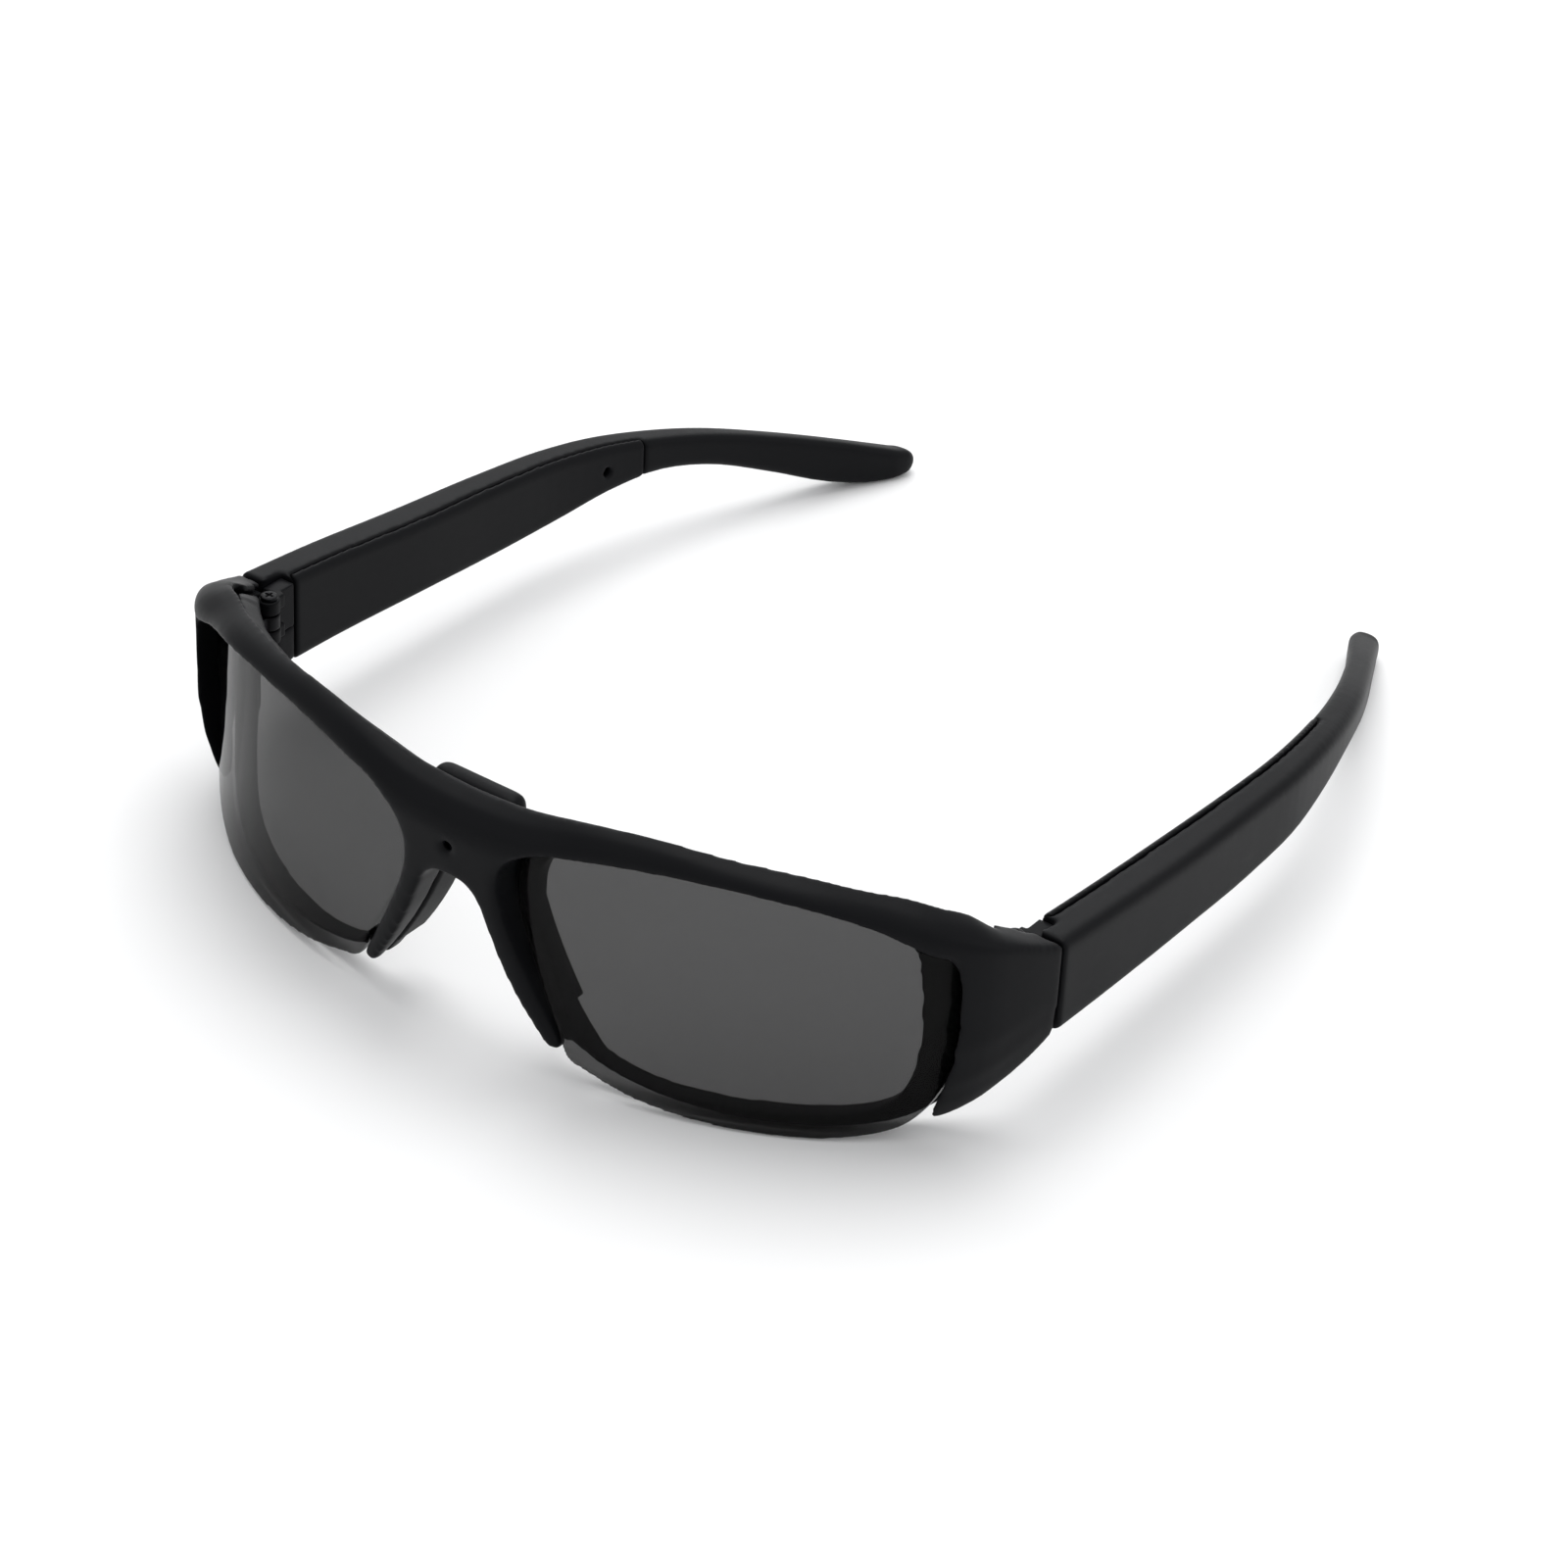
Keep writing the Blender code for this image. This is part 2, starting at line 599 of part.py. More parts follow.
def lens(side):
    outline = closed_outline(frame_points(LENS_OUTLINE))
    glass = prism("lens_" + side, outline, -WRAP_DEPTH - 20, 12)
    slab = lens_slab("lens_depth_" + side, 0.0, LENS_THICKNESS, -10, 60, -6, FRAME_HEIGHT + 6)
    combine(glass, slab, "INTERSECT")
    if side == "right":
        for obj in (glass, slab):
            flip_to(obj, side)
    return dress(glass, "lens")


def endpiece_rings(stations, near, far, top_drop, low_rise):
    """Rings between two offsets inside the endpiece wall, under its top skin."""
    rings = []
    for station in stations:
        x, y, nx, ny, shoulder, crest, offset = station
        outer = []
        for z in face_levels(x, y, shoulder):
            depth = face_inset(x, z, shoulder) + near
            outer.append((x + nx * depth, y + ny * depth, z))
        low = outer[-1]
        outer[-1] = (low[0], low[1], low[2] + low_rise)
        top = crest - top_drop
        outer[0] = (outer[0][0], outer[0][1], min(outer[0][2], top))
        deep = offset + far
        inner = [(x + nx * deep, y + ny * deep, outer[-1][2]), (x + nx * deep, y + ny * deep, top)]
        ring = outer[:0:-1] + [(outer[0][0], outer[0][1], top)]
        ring += [inner[1], inner[0]]
        rings.append(ring)
    return rings


def endpiece_stations(start_y):
    return [station for station in brow_curve(LUG_STATIONS) if station[1] > start_y and station[0] > HALF_WIDTH / 2]


def endpiece_pocket(side):
    """Cutter for the space behind the endpiece wall, which the rear frame's lug fills."""
    rings = endpiece_rings(endpiece_stations(-LUG_FRONT - 3.0), FASCIA_WALL, 4.0, FASCIA_TOP_SKIN, -4.0)
    return flip_to(loft("endpiece_pocket_" + side, rings), side)


def hinge_axis():
    return HALF_WIDTH - HINGE_AXIS_INSET, -HINGE_AXIS_FORWARD


def hinge_notch(name, side):
    """Cutter that keeps the frame clear of the knuckles and of the turning temple corner."""
    x, y = hinge_axis()
    radius = KNUCKLE_RADIUS + HINGE_CLEARANCE
    round_part = rod(name + side, radius, (x, y, -5), (x, y, FRAME_HEIGHT + 5), 28)
    return flip_to(round_part, side)


def hinge_bay(name, side):
    """Cutter for the free space inward of the hinge."""
    x, y = hinge_axis()
    radius = KNUCKLE_RADIUS + HINGE_CLEARANCE
    return flip_to(block(name + side, (x - 12, y - radius, -5), (x, 4, FRAME_HEIGHT + 5)), side)


def hinge_slot(side):
    """Cutter for the short open slot between the endpiece's top and the temple."""
    x, y = hinge_axis()
    slot = block("hinge_slot_" + side, (x, -SLOT_WIDTH, HINGE_TOP - SLOT_DEPTH), (x + SLOT_LENGTH, 2, HINGE_TOP + 6))
    return flip_to(slot, side)


def seam_cut(name):
    """Cutter that ends the frame at the seam plane, in front of the temples."""
    return block(name, (-HALF_WIDTH - 10, -SEAM_GAP / 2, -10), (HALF_WIDTH + 10, 20, FRAME_HEIGHT + 10))


def rear_space():
    """Cutter that trims the front shell where the rear frame begins."""
    depth = LENS_THICKNESS + 0.1
    slab = lens_slab("rear_space", depth, 30, centre_angle(depth), REAR_SPACE_END, -8, FRAME_HEIGHT + 8, plane=True)
    return mirror_half(slab)


def camera_space():
    """Cutter for the camera behind the bridge's face."""
    front = -WRAP_DEPTH + CAMERA_SKIN
    clear = GAP / 2
    wide = CAMERA_BOARD[0] / 2 + clear
    tall = CAMERA_BOARD[2] / 2 + clear
    space = block("camera_space", (-wide, front + 0.2, CAMERA_HEIGHT - tall), (wide, 0, CAMERA_HEIGHT + tall))
    hole = rod("camera_hole", CAMERA_HOLE_RADIUS, (0, -WRAP_DEPTH - 5, CAMERA_HEIGHT),
               (0, -WRAP_DEPTH + 5, CAMERA_HEIGHT), 24)
    join(space, hole)
    return space


# --- Rear frame ------------------------------------------------------------------------------
def crest_line():
    """Crest of the brow as (x, z), bridge to hinge."""
    return [(x + nx * offset, crest) for x, _, nx, _, _, crest, offset in brow_curve()]


def rear_frame():
    """Inner frame behind the lenses, with a full rim, a bridge bar and the hinge lugs."""
    front, back = LENS_THICKNESS + 0.1 + GAP, LENS_THICKNESS + 0.1 + GAP + REAR_FRAME_DEPTH
    frame = lens_slab("rear_frame", front, back, centre_angle(front), REAR_FRAME_END, -6, FRAME_HEIGHT + 6,
                      36, plane=True)
    mirror_half(frame)
    crest = crest_line()
    rim = open_outline(frame_points(RIM_OUTLINE))
    tip = frame_points([ARM_TIP])[0]
    half = [(tip[0], tip[1])] + rim + [(rim[-1][0], crest[-1][1])] + crest[::-1]
    half = [point for point in half if point[0] > 0.01]
    outline = half + [(-u, v) for u, v in reversed(half)]
    combine(frame, prism("rear_frame_outline", outline, -WRAP_DEPTH - 20, 20), "INTERSECT")
    cut(frame, nose_gap("nose_gap_in_rear", 0.0), rear_top("left"), rear_top("right"))
    for side in ("left", "right"):
        join(frame, hinge_lug(side))
        cut(frame, lens_window(side), pad_space(side))
        cut(frame, hinge_notch("hinge_notch_in_rear_", side), hinge_bay("hinge_bay_in_rear_", side))
        cut(frame, leaf_pocket(side), frame_screw_hole("rear", side))
        cut(frame, flip_to(block("lug_corner_" + side, *LUG_CORNER), side))
    cut(frame, housing_space(), ribbon_groove(), seam_cut("seam_in_rear"))
    return dress(frame, "frame")


def rear_top(side):
    """Cutter that slopes the rear frame's top down behind the brow."""
    crest = crest_line()
    xs, zs = [p[0] for p in crest], [p[1] for p in crest]
    start = LENS_THICKNESS + 0.1 + GAP
    near, far = start - 1, start + REAR_FRAME_DEPTH + 1
    under_skin = FASCIA_TOP_SKIN + 1.5 * GAP
    rings = []
    for angle in np.radians(np.linspace(centre_angle(start) - 1, REAR_FRAME_END + 2, 32)):
        x = lens_point(angle, start, 0)[0]
        lug = ramp(x / HALF_WIDTH, *REAR_TOP_BLEND)
        top = float(np.interp(x, xs, zs)) - REAR_TOP_DROP * (1 - lug) - under_skin * lug
        fall = REAR_TOP_FALL * (1 - lug)
        high = FRAME_HEIGHT + 8
        rings.append([lens_point(angle, near, top + fall), lens_point(angle, far, top - fall * (far - start)),
                      lens_point(angle, far, high), lens_point(angle, near, high)])
    return flip_to(loft("rear_top_" + side, rings), side)


def hinge_lug(side):
    rings = endpiece_rings(endpiece_stations(-LUG_FRONT), FASCIA_WALL + GAP, LUG_EXTRA,
                           FASCIA_TOP_SKIN + GAP, GAP)
    return flip_to(loft("hinge_lug_" + side, rings), side)


def lens_window(side):
    outline = closed_outline(frame_points(WINDOW_OUTLINE))
    return flip_to(prism("lens_window_" + side, outline, -WRAP_DEPTH - 20, -LUG_FRONT + 2.2), side)


def pad_outline(extra):
    """Band along the nose gap's edge as (x, z), widened by a clearance."""
    edge = open_outline(frame_points(NOSE_GAP_OUTLINE))
    low, high = PAD_LOW * FRAME_HEIGHT - extra, PAD_HIGH * FRAME_HEIGHT + extra
    edge = [point for point in edge if low <= point[1] <= high]
    points = np.array(edge)
    tangent = np.gradient(points, axis=0)
    tangent /= np.linalg.norm(tangent, axis=1)[:, None]
    outward = np.stack([-tangent[:, 1], tangent[:, 0]], 1)
    near = points - outward * extra
    far = points + outward * (PAD_THICKNESS + extra)
    return [tuple(p) for p in near] + [tuple(p) for p in far[::-1]]


def nose_pad(side):
    pad = prism("nose_pad_" + side, pad_outline(0.0), -WRAP_DEPTH - 20, -PAD_BACK)
    depth = LENS_THICKNESS + 0.1 + GAP
    slab = lens_slab("nose_pad_depth_" + side, depth, 16, -16, 20, -6, FRAME_HEIGHT)
    combine(pad, slab, "INTERSECT")
    if side == "right":
        for obj in (pad, slab):
            flip_to(obj, side)
    return dress(pad, "pad")


def pad_space(side):
    return flip_to(prism("pad_space_" + side, pad_outline(GAP), -WRAP_DEPTH - 20, 0), side)


# --- Camera in the bridge --------------------------------------------------------------------
def housing_box(name, clearance, bevel):
    low = (HOUSING_SPAN[0] - clearance, -WRAP_DEPTH + HOUSING_START - clearance, HOUSING_LOW - clearance)
    high = (HOUSING_SPAN[1] + clearance, -HOUSING_BACK + 10 * clearance, HOUSING_TOP + 10 * clearance)
    return block(name, low, high, bevel, 3)


def camera_housing():
    housing = housing_box("camera_housing", 0.0, HOUSING_CORNER)
    return dress(housing, "frame")


def housing_space():
    return housing_box("housing_space", GAP, 0.0)


def camera_parts():
    """Window, barrel and sensor board, one behind the other."""
    y = -WRAP_DEPTH + CAMERA_SKIN + 0.2 + GAP
    window = rod("camera_window", CAMERA_WINDOW_RADIUS, (0, y, CAMERA_HEIGHT),
                 (0, y + CAMERA_WINDOW_THICKNESS, CAMERA_HEIGHT), 28)
    y += CAMERA_WINDOW_THICKNESS + GAP
    barrel = rod("camera_barrel", CAMERA_BARREL_RADIUS, (0, y, CAMERA_HEIGHT),
                 (0, y + CAMERA_BARREL_LENGTH, CAMERA_HEIGHT), 28)
    y += CAMERA_BARREL_LENGTH + GAP
    wide, deep, tall = CAMERA_BOARD
    board = block("camera_board", (-wide / 2, y, CAMERA_HEIGHT - tall / 2),
                  (wide / 2, y + deep, CAMERA_HEIGHT + tall / 2))
    return [dress(window, "glass"), dress(barrel, "chip"), dress(board, "board")]


def ribbon_loft(name, clearance):
    """Flat flexible cable along the brow, from the camera to the right hinge."""
    crest = crest_line()
    xs, zs = [p[0] for p in crest], [p[1] for p in crest]
    front = LENS_THICKNESS + 0.1 + GAP + RIBBON_SET
    near, far = front - clearance, front + RIBBON_THICKNESS + clearance
    if clearance:
        near -= 2 * GAP
    rings = []
    for angle in np.radians(np.linspace(RIBBON_START - clearance, RIBBON_END + clearance, 26)):
        middle = float(np.interp(lens_point(angle, front, 0)[0], xs, zs)) - RIBBON_DROP
        low, high = middle - RIBBON_WIDTH / 2 - clearance, middle + RIBBON_WIDTH / 2 + clearance
        rings.append([lens_point(angle, near, low), lens_point(angle, far, low),
                      lens_point(angle, far, high), lens_point(angle, near, high)])
    return flip_to(loft(name, rings), "right")


def camera_ribbon():
    return dress(ribbon_loft("camera_ribbon", 0.0), "ribbon")


def ribbon_groove():
    return ribbon_loft("ribbon_groove", GAP)


def frame_screw_place():
    x = FRAME_SCREW_X
    y = lens_arc_y(x, LENS_THICKNESS + 0.1 + GAP + REAR_FRAME_DEPTH)
    return x, y + FRAME_SCREW_Z * math.tan(math.radians(LENS_LEAN_DEG)), FRAME_SCREW_Z


def frame_screw(side):
    x, y, z = frame_screw_place()
    shank = rod("frame_screw_" + side, SCREW_RADIUS, (x, y - SCREW_LENGTH, z), (x, y - 0.2, z), 16)
    head = rod("frame_screw_head_" + side, SCREW_HEAD_RADIUS, (x, y - SCREW_HEAD_HEIGHT, z), (x, y - 0.05, z), 20)
    join(shank, head)
    if side == "right":
        for obj in (shank, head):
            flip_to(obj, side)
    return dress(shank, "steel")


def frame_screw_hole(host, side):
    x, y, z = frame_screw_place()
    clear = GAP / 2
    hole = rod(host + "_screw_hole_" + side, SCREW_RADIUS + clear, (x, y - SCREW_LENGTH - 1, z), (x, y + 3, z), 16)
    seat = rod(host + "_screw_seat_" + side, SCREW_HEAD_RADIUS + clear,
               (x, y - SCREW_HEAD_HEIGHT - clear, z), (x, y + 3, z), 20)
    join(hole, seat)
    if side == "right":
        for obj in (hole, seat):
            flip_to(obj, side)
    return hole


# --- Hinge -----------------------------------------------------------------------------------
def knuckle_spans():
    """Height ranges of the temple's upper knuckle, the frame's knuckle and the lower one."""
    top = HINGE_TOP - KNUCKLE_TOP_DROP
    step = KNUCKLE_HEIGHT + GAP
    return [(top - KNUCKLE_HEIGHT - k * step, top - k * step) for k in range(3)]


def hinge_leaf_front(side):
    x, y = hinge_axis()
    low, high = knuckle_spans()[1]
    leaf = rod("hinge_leaf_front_" + side, KNUCKLE_RADIUS, (x, y, low), (x, y, high), 24)
    plate = block("hinge_plate_front_" + side, (x - LEAF_THICKNESS / 2, y - LEAF_LENGTH, low),
                  (x + LEAF_THICKNESS / 2, y, high))
    hole = rod("hinge_bore_front_" + side, HINGE_PIN_RADIUS + GAP / 2, (x, y, low - 2), (x, y, high + 2), 20)
    join(leaf, plate)
    cut(leaf, hole)
    for obj in (leaf, plate, hole):
        flip_to(obj, side)
    return dress(leaf, "steel")


def leaf_pocket(side):
    x, y = hinge_axis()
    low, high = knuckle_spans()[1]
    clear = GAP / 2
    return flip_to(block("leaf_pocket_" + side,
                         (x - 8, y - LEAF_LENGTH - clear, low - clear),
                         (x + LEAF_THICKNESS / 2 + clear, y + 1, high + clear)), side)


def leaf_box(name, side, clear):
    """Plate of the temple's hinge leaf, set into the temple's inner front corner."""
    x, y = hinge_axis()
    spans = knuckle_spans()
    inner = HALF_WIDTH - TEMPLE_STATIONS[0][2]
    return flip_to(block(name + side, (inner - 2 * clear, SEAM_GAP / 2 - 2 * clear, spans[2][0] - clear),
                         (inner + LEAF_DEPTH + clear, COVER_START - GAP + clear, spans[0][1] + 8 * clear)), side)


def hinge_leaf_temple(side):
    x, y = hinge_axis()
    spans = knuckle_spans()
    leaf = leaf_box("hinge_leaf_temple_", side, 0.0)
    for index in (0, 2):
        low, high = spans[index]
        label = str(index) + "_" + side
        knuckle = rod("hinge_knuckle_" + label, KNUCKLE_RADIUS, (x, y, low), (x, y, high), 24)
        arm = block("hinge_arm_" + label, (x - ARM_HALF, y, low), (x + ARM_HALF, SEAM_GAP / 2 + 1, high))
        join(leaf, flip_to(knuckle, side), flip_to(arm, side))
    bore = rod("hinge_bore_temple_" + side, HINGE_PIN_RADIUS + GAP / 2, (x, y, spans[2][0] - 2),
               (x, y, spans[0][1] + 2), 20)
    low, high = spans[1]
    radius = KNUCKLE_RADIUS + GAP
    relief = rod("hinge_relief_" + side, radius, (x, y, low - GAP), (x, y, high + GAP), 24)
    cut(leaf, flip_to(bore, side), flip_to(relief, side))
    return dress(leaf, "frame")


def hinge_screw(side):
    x, y = hinge_axis()
    spans = knuckle_spans()
    screw = rod("hinge_screw_" + side, HINGE_PIN_RADIUS, (x, y, spans[2][0]), (x, y, spans[0][1] + GAP), 20)
    head = rod("hinge_screw_head_" + side, LEAF_HEAD_RADIUS, (x, y, spans[0][1] + GAP / 2),
               (x, y, spans[0][1] + GAP / 2 + HINGE_HEAD_HEIGHT), 24)
    join(screw, head)
    for obj in (screw, head):
        flip_to(obj, side)
    return dress(screw, "steel")


# --- Temples ---------------------------------------------------------------------------------
def temple_at(y):
    """Outer face, inner face, top and bottom of the temple at a distance behind the seam."""
    table = np.array(TEMPLE_STATIONS)
    share = y / TEMPLE_LENGTH
    outer = float(smooth(table[:, 0], table[:, 1], share)[0]) * HALF_WIDTH
    thick = float(smooth(table[:, 0], table[:, 2], share)[0])
    top = float(smooth(table[:, 0], table[:, 3], share)[0])
    bottom = float(smooth(table[:, 0], table[:, 4], share)[0])
    return outer, outer - thick, top, bottom


def rounded_section(y, outer, inner, top, bottom, radius, steps=3):
    radius = min(radius, 0.45 * (outer - inner), 0.45 * (top - bottom))
    ring = []
    for cx, cz, start in ((outer - radius, top - radius, 0), (inner + radius, top - radius, 90),
                          (inner + radius, bottom + radius, 180), (outer - radius, bottom + radius, 270)):
        for step in range(steps + 1):
            angle = math.radians(start + 90 * step / steps)
            ring.append((cx + radius * math.cos(angle), y, cz + radius * math.sin(angle)))
    return ring


def temple_body(name):
    places = list(np.linspace(SEAM_GAP / 2, 0.95 * TEMPLE_LENGTH, TEMPLE_RINGS))
    places += list(TEMPLE_LENGTH * (1 - 0.05 * (1 - np.sin(np.linspace(0, math.pi / 2, 7)[1:]))))
    return loft(name, [rounded_section(y, *temple_at(y), TEMPLE_EDGE_RADIUS) for y in places])


def temple_slab(name, depth, start, end, low=-10.0, high=50.0):
    """Cutter along the inner face: everything within a depth of it."""
    rings = []
    for y in np.linspace(start, end, 26):
        outer, inner, _, _ = temple_at(y)
        near, far = (inner - 3, inner + depth)
        rings.append([(near, y, low), (far, y, low), (far, y, high), (near, y, high)])
    return loft(name, rings)


def temple_cavity(name):
    rings = []
    for y in np.linspace(CAVITY_START, CAVITY_END, 26):
        outer, inner, top, bottom = temple_at(y)
        near, far = inner + COVER_THICKNESS - 0.3, outer - TEMPLE_WALL
        low, high = bottom + TEMPLE_WALL, top - TEMPLE_WALL
        rings.append([(near, y, low), (far, y, low), (far, y, high), (near, y, high)])
    return loft(name, rings)


def temple_shell(side):
    """Outer shell of the temple, running on into the curved ear tip."""
    shell = temple_body("temple_shell_" + side)
    end = COVER_END * TEMPLE_LENGTH
    tools = [temple_slab("cover_space_" + side, COVER_THICKNESS + GAP, COVER_START, end + GAP),
             temple_cavity("temple_cavity_" + side)]
    for obj in [shell] + tools:
        flip_to(obj, side)
    cut(shell, *tools)
    cut(shell, leaf_box("leaf_space_", side, GAP / 2))
    cut(shell, *[flip_to(tool, side) for tool in underside_holes(side)])
    return dress(shell, "frame")


def temple_cover(side):
    """Plate that closes the temple's inner side, with the microphone's hole on the right."""
    cover = temple_body("temple_cover_" + side)
    end = COVER_END * TEMPLE_LENGTH
    slab = temple_slab("cover_depth_" + side, COVER_THICKNESS, COVER_START + GAP, end)
    for obj in (cover, slab):
        flip_to(obj, side)
    combine(cover, slab, "INTERSECT")
    if side == "right":
        _, inner, _, _ = temple_at(MICROPHONE_Y)
        hole = rod("microphone_hole", MICROPHONE_HOLE_RADIUS, (inner - 3, MICROPHONE_Y, MICROPHONE_Z),
                   (inner + 5, MICROPHONE_Y, MICROPHONE_Z), 20)
        cut(cover, flip_to(hole, side))
    return dress(cover, "frame")


def cavity_place(y):
    """Centre of the temple's cavity with the yaw and pitch of its course there."""
    def centre(at):
        outer, inner, top, bottom = temple_at(at)
        return Vector(((outer - TEMPLE_WALL + inner + COVER_THICKNESS) / 2, at, (top + bottom) / 2))
    ahead = (centre(y + 5) - centre(y - 5)).normalized()
    return centre(y), -math.atan2(ahead.x, ahead.y), math.asin(ahead.z)


def in_temple(name, size, y, side, shift=(0.0, 0.0), key="chip"):
    """Box that follows the temple's cavity: size across, along and up."""
    place, yaw, pitch = cavity_place(y)
    across, along, up = size
    obj = block(name, (-across / 2 + shift[0], -along / 2, -up / 2 + shift[1]),
                (across / 2 + shift[0], along / 2, up / 2 + shift[1]))
    turn = Matrix.Rotation(yaw, 4, "Z") @ Matrix.Rotation(pitch, 4, "X")
    obj.data.transform(Matrix.Translation(place * MM) @ turn)
    return dress(flip_to(obj, side), key)


# --- Controls and port on the underside --------------------------------------------------------
def under_place(y):
    """Middle of the temple's underside: across position and height of the lower face."""
    place, _, _ = cavity_place(y)
    return place.x, temple_at(y)[3]


def pill(length, width, steps=8):
    """Outline with round ends, long along its second coordinate."""
    radius = width / 2
    straight = length / 2 - radius
    ends = []
    for centre, start in ((straight, 0), (-straight, 180)):
        for step in range(steps + 1):
            angle = math.radians(start + 180 * step / steps)
            ends.append((radius * math.cos(angle), centre + radius * math.sin(angle)))
    return ends


def pill_at(name, x, y, length, width, low, high):
    outline = [(x + u, y + v) for u, v in pill(length, width)]
    return prism(name, outline, low, high, axis="Z")


def record_button():
    """Button cap that passes through the underside, held in by a flange inside."""
    x, low = under_place(BUTTON_Y)
    start = low - BUTTON_PROUD
    cap = pill_at("record_button", x, BUTTON_Y, BUTTON_LENGTH, BUTTON_WIDTH, start, start + BUTTON_HEIGHT)
    flange = pill_at("button_flange", x, BUTTON_Y, BUTTON_LENGTH + 2 * BUTTON_FLANGE, BUTTON_WIDTH + 2 * BUTTON_FLANGE,
                     start + BUTTON_HEIGHT - BUTTON_FLANGE, start + BUTTON_HEIGHT)
    join(cap, flange)
    for obj in (cap, flange):
        flip_to(obj, "right")
    return dress(cap, "chip")


def underside_holes(side):
    """Cutters through the lower wall, made for the left side."""
    if side == "right":
        x, low = under_place(BUTTON_Y)
        slot = pill_at("button_slot", x, BUTTON_Y, BUTTON_LENGTH + 2 * SLIDE_CLEARANCE,
                       BUTTON_WIDTH + 2 * SLIDE_CLEARANCE, low - 3, low + 3)
        x, low = under_place(LIGHT_Y)
        light = rod("light_hole", LIGHT_RADIUS + GAP / 2, (x, LIGHT_Y, low - 3), (x, LIGHT_Y, low + 3), 20)
        return [slot, light]
    x, low = under_place(PORT_Y)
    wide, long = PORT_WIDTH / 2 + GAP / 2, PORT_LENGTH / 2 + GAP / 2
    return [block("port_hole", (x - wide, PORT_Y - long, low - 3), (x + wide, PORT_Y + long, low + 3))]


def status_light():
    x, low = under_place(LIGHT_Y)
    light = rod("status_light", LIGHT_RADIUS, (x, LIGHT_Y, low + 0.05), (x, LIGHT_Y, low + TEMPLE_WALL + 1.0), 20)
    return dress(flip_to(light, "right"), "light")


def button_switch():
    """Small switch above the button, with room for the button's travel."""
    x, low = under_place(BUTTON_Y)
    start = low - BUTTON_PROUD + BUTTON_HEIGHT + BUTTON_TRAVEL + SWITCH_GAP
    across, along, up = SWITCH
    switch = block("button_switch", (x - across / 2, BUTTON_Y - along / 2, start),
                   (x + across / 2, BUTTON_Y + along / 2, start + up))
    return dress(flip_to(switch, "right"), "steel")


def charging_port():
    """Metal shell of the charging socket with its tongue, open at the underside."""
    x, low = under_place(PORT_Y)
    wide, long = PORT_WIDTH / 2, PORT_LENGTH / 2
    base = low + 0.3
    shell = block("port_shell", (x - wide, PORT_Y - long, base), (x + wide, PORT_Y + long, base + PORT_DEPTH))
    inside = block("port_inside", (x - wide + PORT_SHELL, PORT_Y - long + PORT_SHELL, base - 3),
                   (x + wide - PORT_SHELL, PORT_Y + long - PORT_SHELL, base + PORT_DEPTH - PORT_SHELL))
    cut(shell, inside)
    across, along, up = TONGUE
    top = base + PORT_DEPTH - PORT_SHELL - GAP / 2
    tongue = block("port_tongue", (x - across / 2, PORT_Y - along / 2, top - up),
                   (x + across / 2, PORT_Y + along / 2, top))
    return [dress(shell, "steel"), dress(tongue, "chip")]


def microphone():
    _, inner, _, _ = temple_at(MICROPHONE_Y)
    start = inner + COVER_THICKNESS + GAP
    capsule = rod("microphone", MICROPHONE_RADIUS, (start, MICROPHONE_Y, MICROPHONE_Z),
                  (start + MICROPHONE_THICKNESS, MICROPHONE_Y, MICROPHONE_Z), 24)
    return dress(flip_to(capsule, "right"), "steel")


def electronics():
    """Internal pieces: battery and charging board on the left, main board on the right."""
    left = [in_temple("battery", BATTERY, BATTERY_Y, "left", key="cell"),
            in_temple("charge_board", CHARGE_BOARD, CHARGE_BOARD_Y, "left", key="board")]
    left += charging_port()
    board_shift = (BOARD_SHIFT, BOARD_RISE)
    chip_place = (BOARD_SHIFT - MAIN_BOARD[0] / 2 - GAP - PROCESSOR[0] / 2, BOARD_RISE)
    memory_place = (BOARD_SHIFT - MAIN_BOARD[0] / 2 - GAP - MEMORY_CHIP[0] / 2, BOARD_RISE)
    right = [in_temple("main_board", MAIN_BOARD, BOARD_Y, "right", board_shift, "board"),
             in_temple("processor", PROCESSOR, BOARD_Y + 8, "right", chip_place, "chip"),
             in_temple("memory_chip", MEMORY_CHIP, BOARD_Y - 10, "right", memory_place, "chip"),
             button_switch(), status_light(), microphone()]
    return left, right


# --- Assembly --------------------------------------------------------------------------------
def clear_scene():
    for obj in list(bpy.data.objects):
        bpy.data.objects.remove(obj)
    for mesh in list(bpy.data.meshes):
        bpy.data.meshes.remove(mesh)


def empty_at(name, place, parent=None):
    empty = bpy.data.objects.new(name, None)
    empty.empty_display_size = 0.01
    PARTS.objects.link(empty)
    empty.location = Vector(place) * MM
    empty.parent = parent
    return empty


def attach(pieces, holder, holder_place):
    """Parent pieces to an empty, leaving them where they were modelled."""
    for piece in pieces:
        piece.parent = holder
        piece.matrix_parent_inverse = Matrix.Translation(Vector(holder_place) * MM).inverted()
        for step in piece.modifiers:
            if step.type == "BOOLEAN":
                keep_with(step.object, holder, holder_place)


def keep_with(tool, holder, holder_place):
    tool.parent = holder
    tool.matrix_parent_inverse = Matrix.Translation(Vector(holder_place) * MM).inverted()
    for step in tool.modifiers:
        if step.type == "BOOLEAN":
            keep_with(step.object, holder, holder_place)


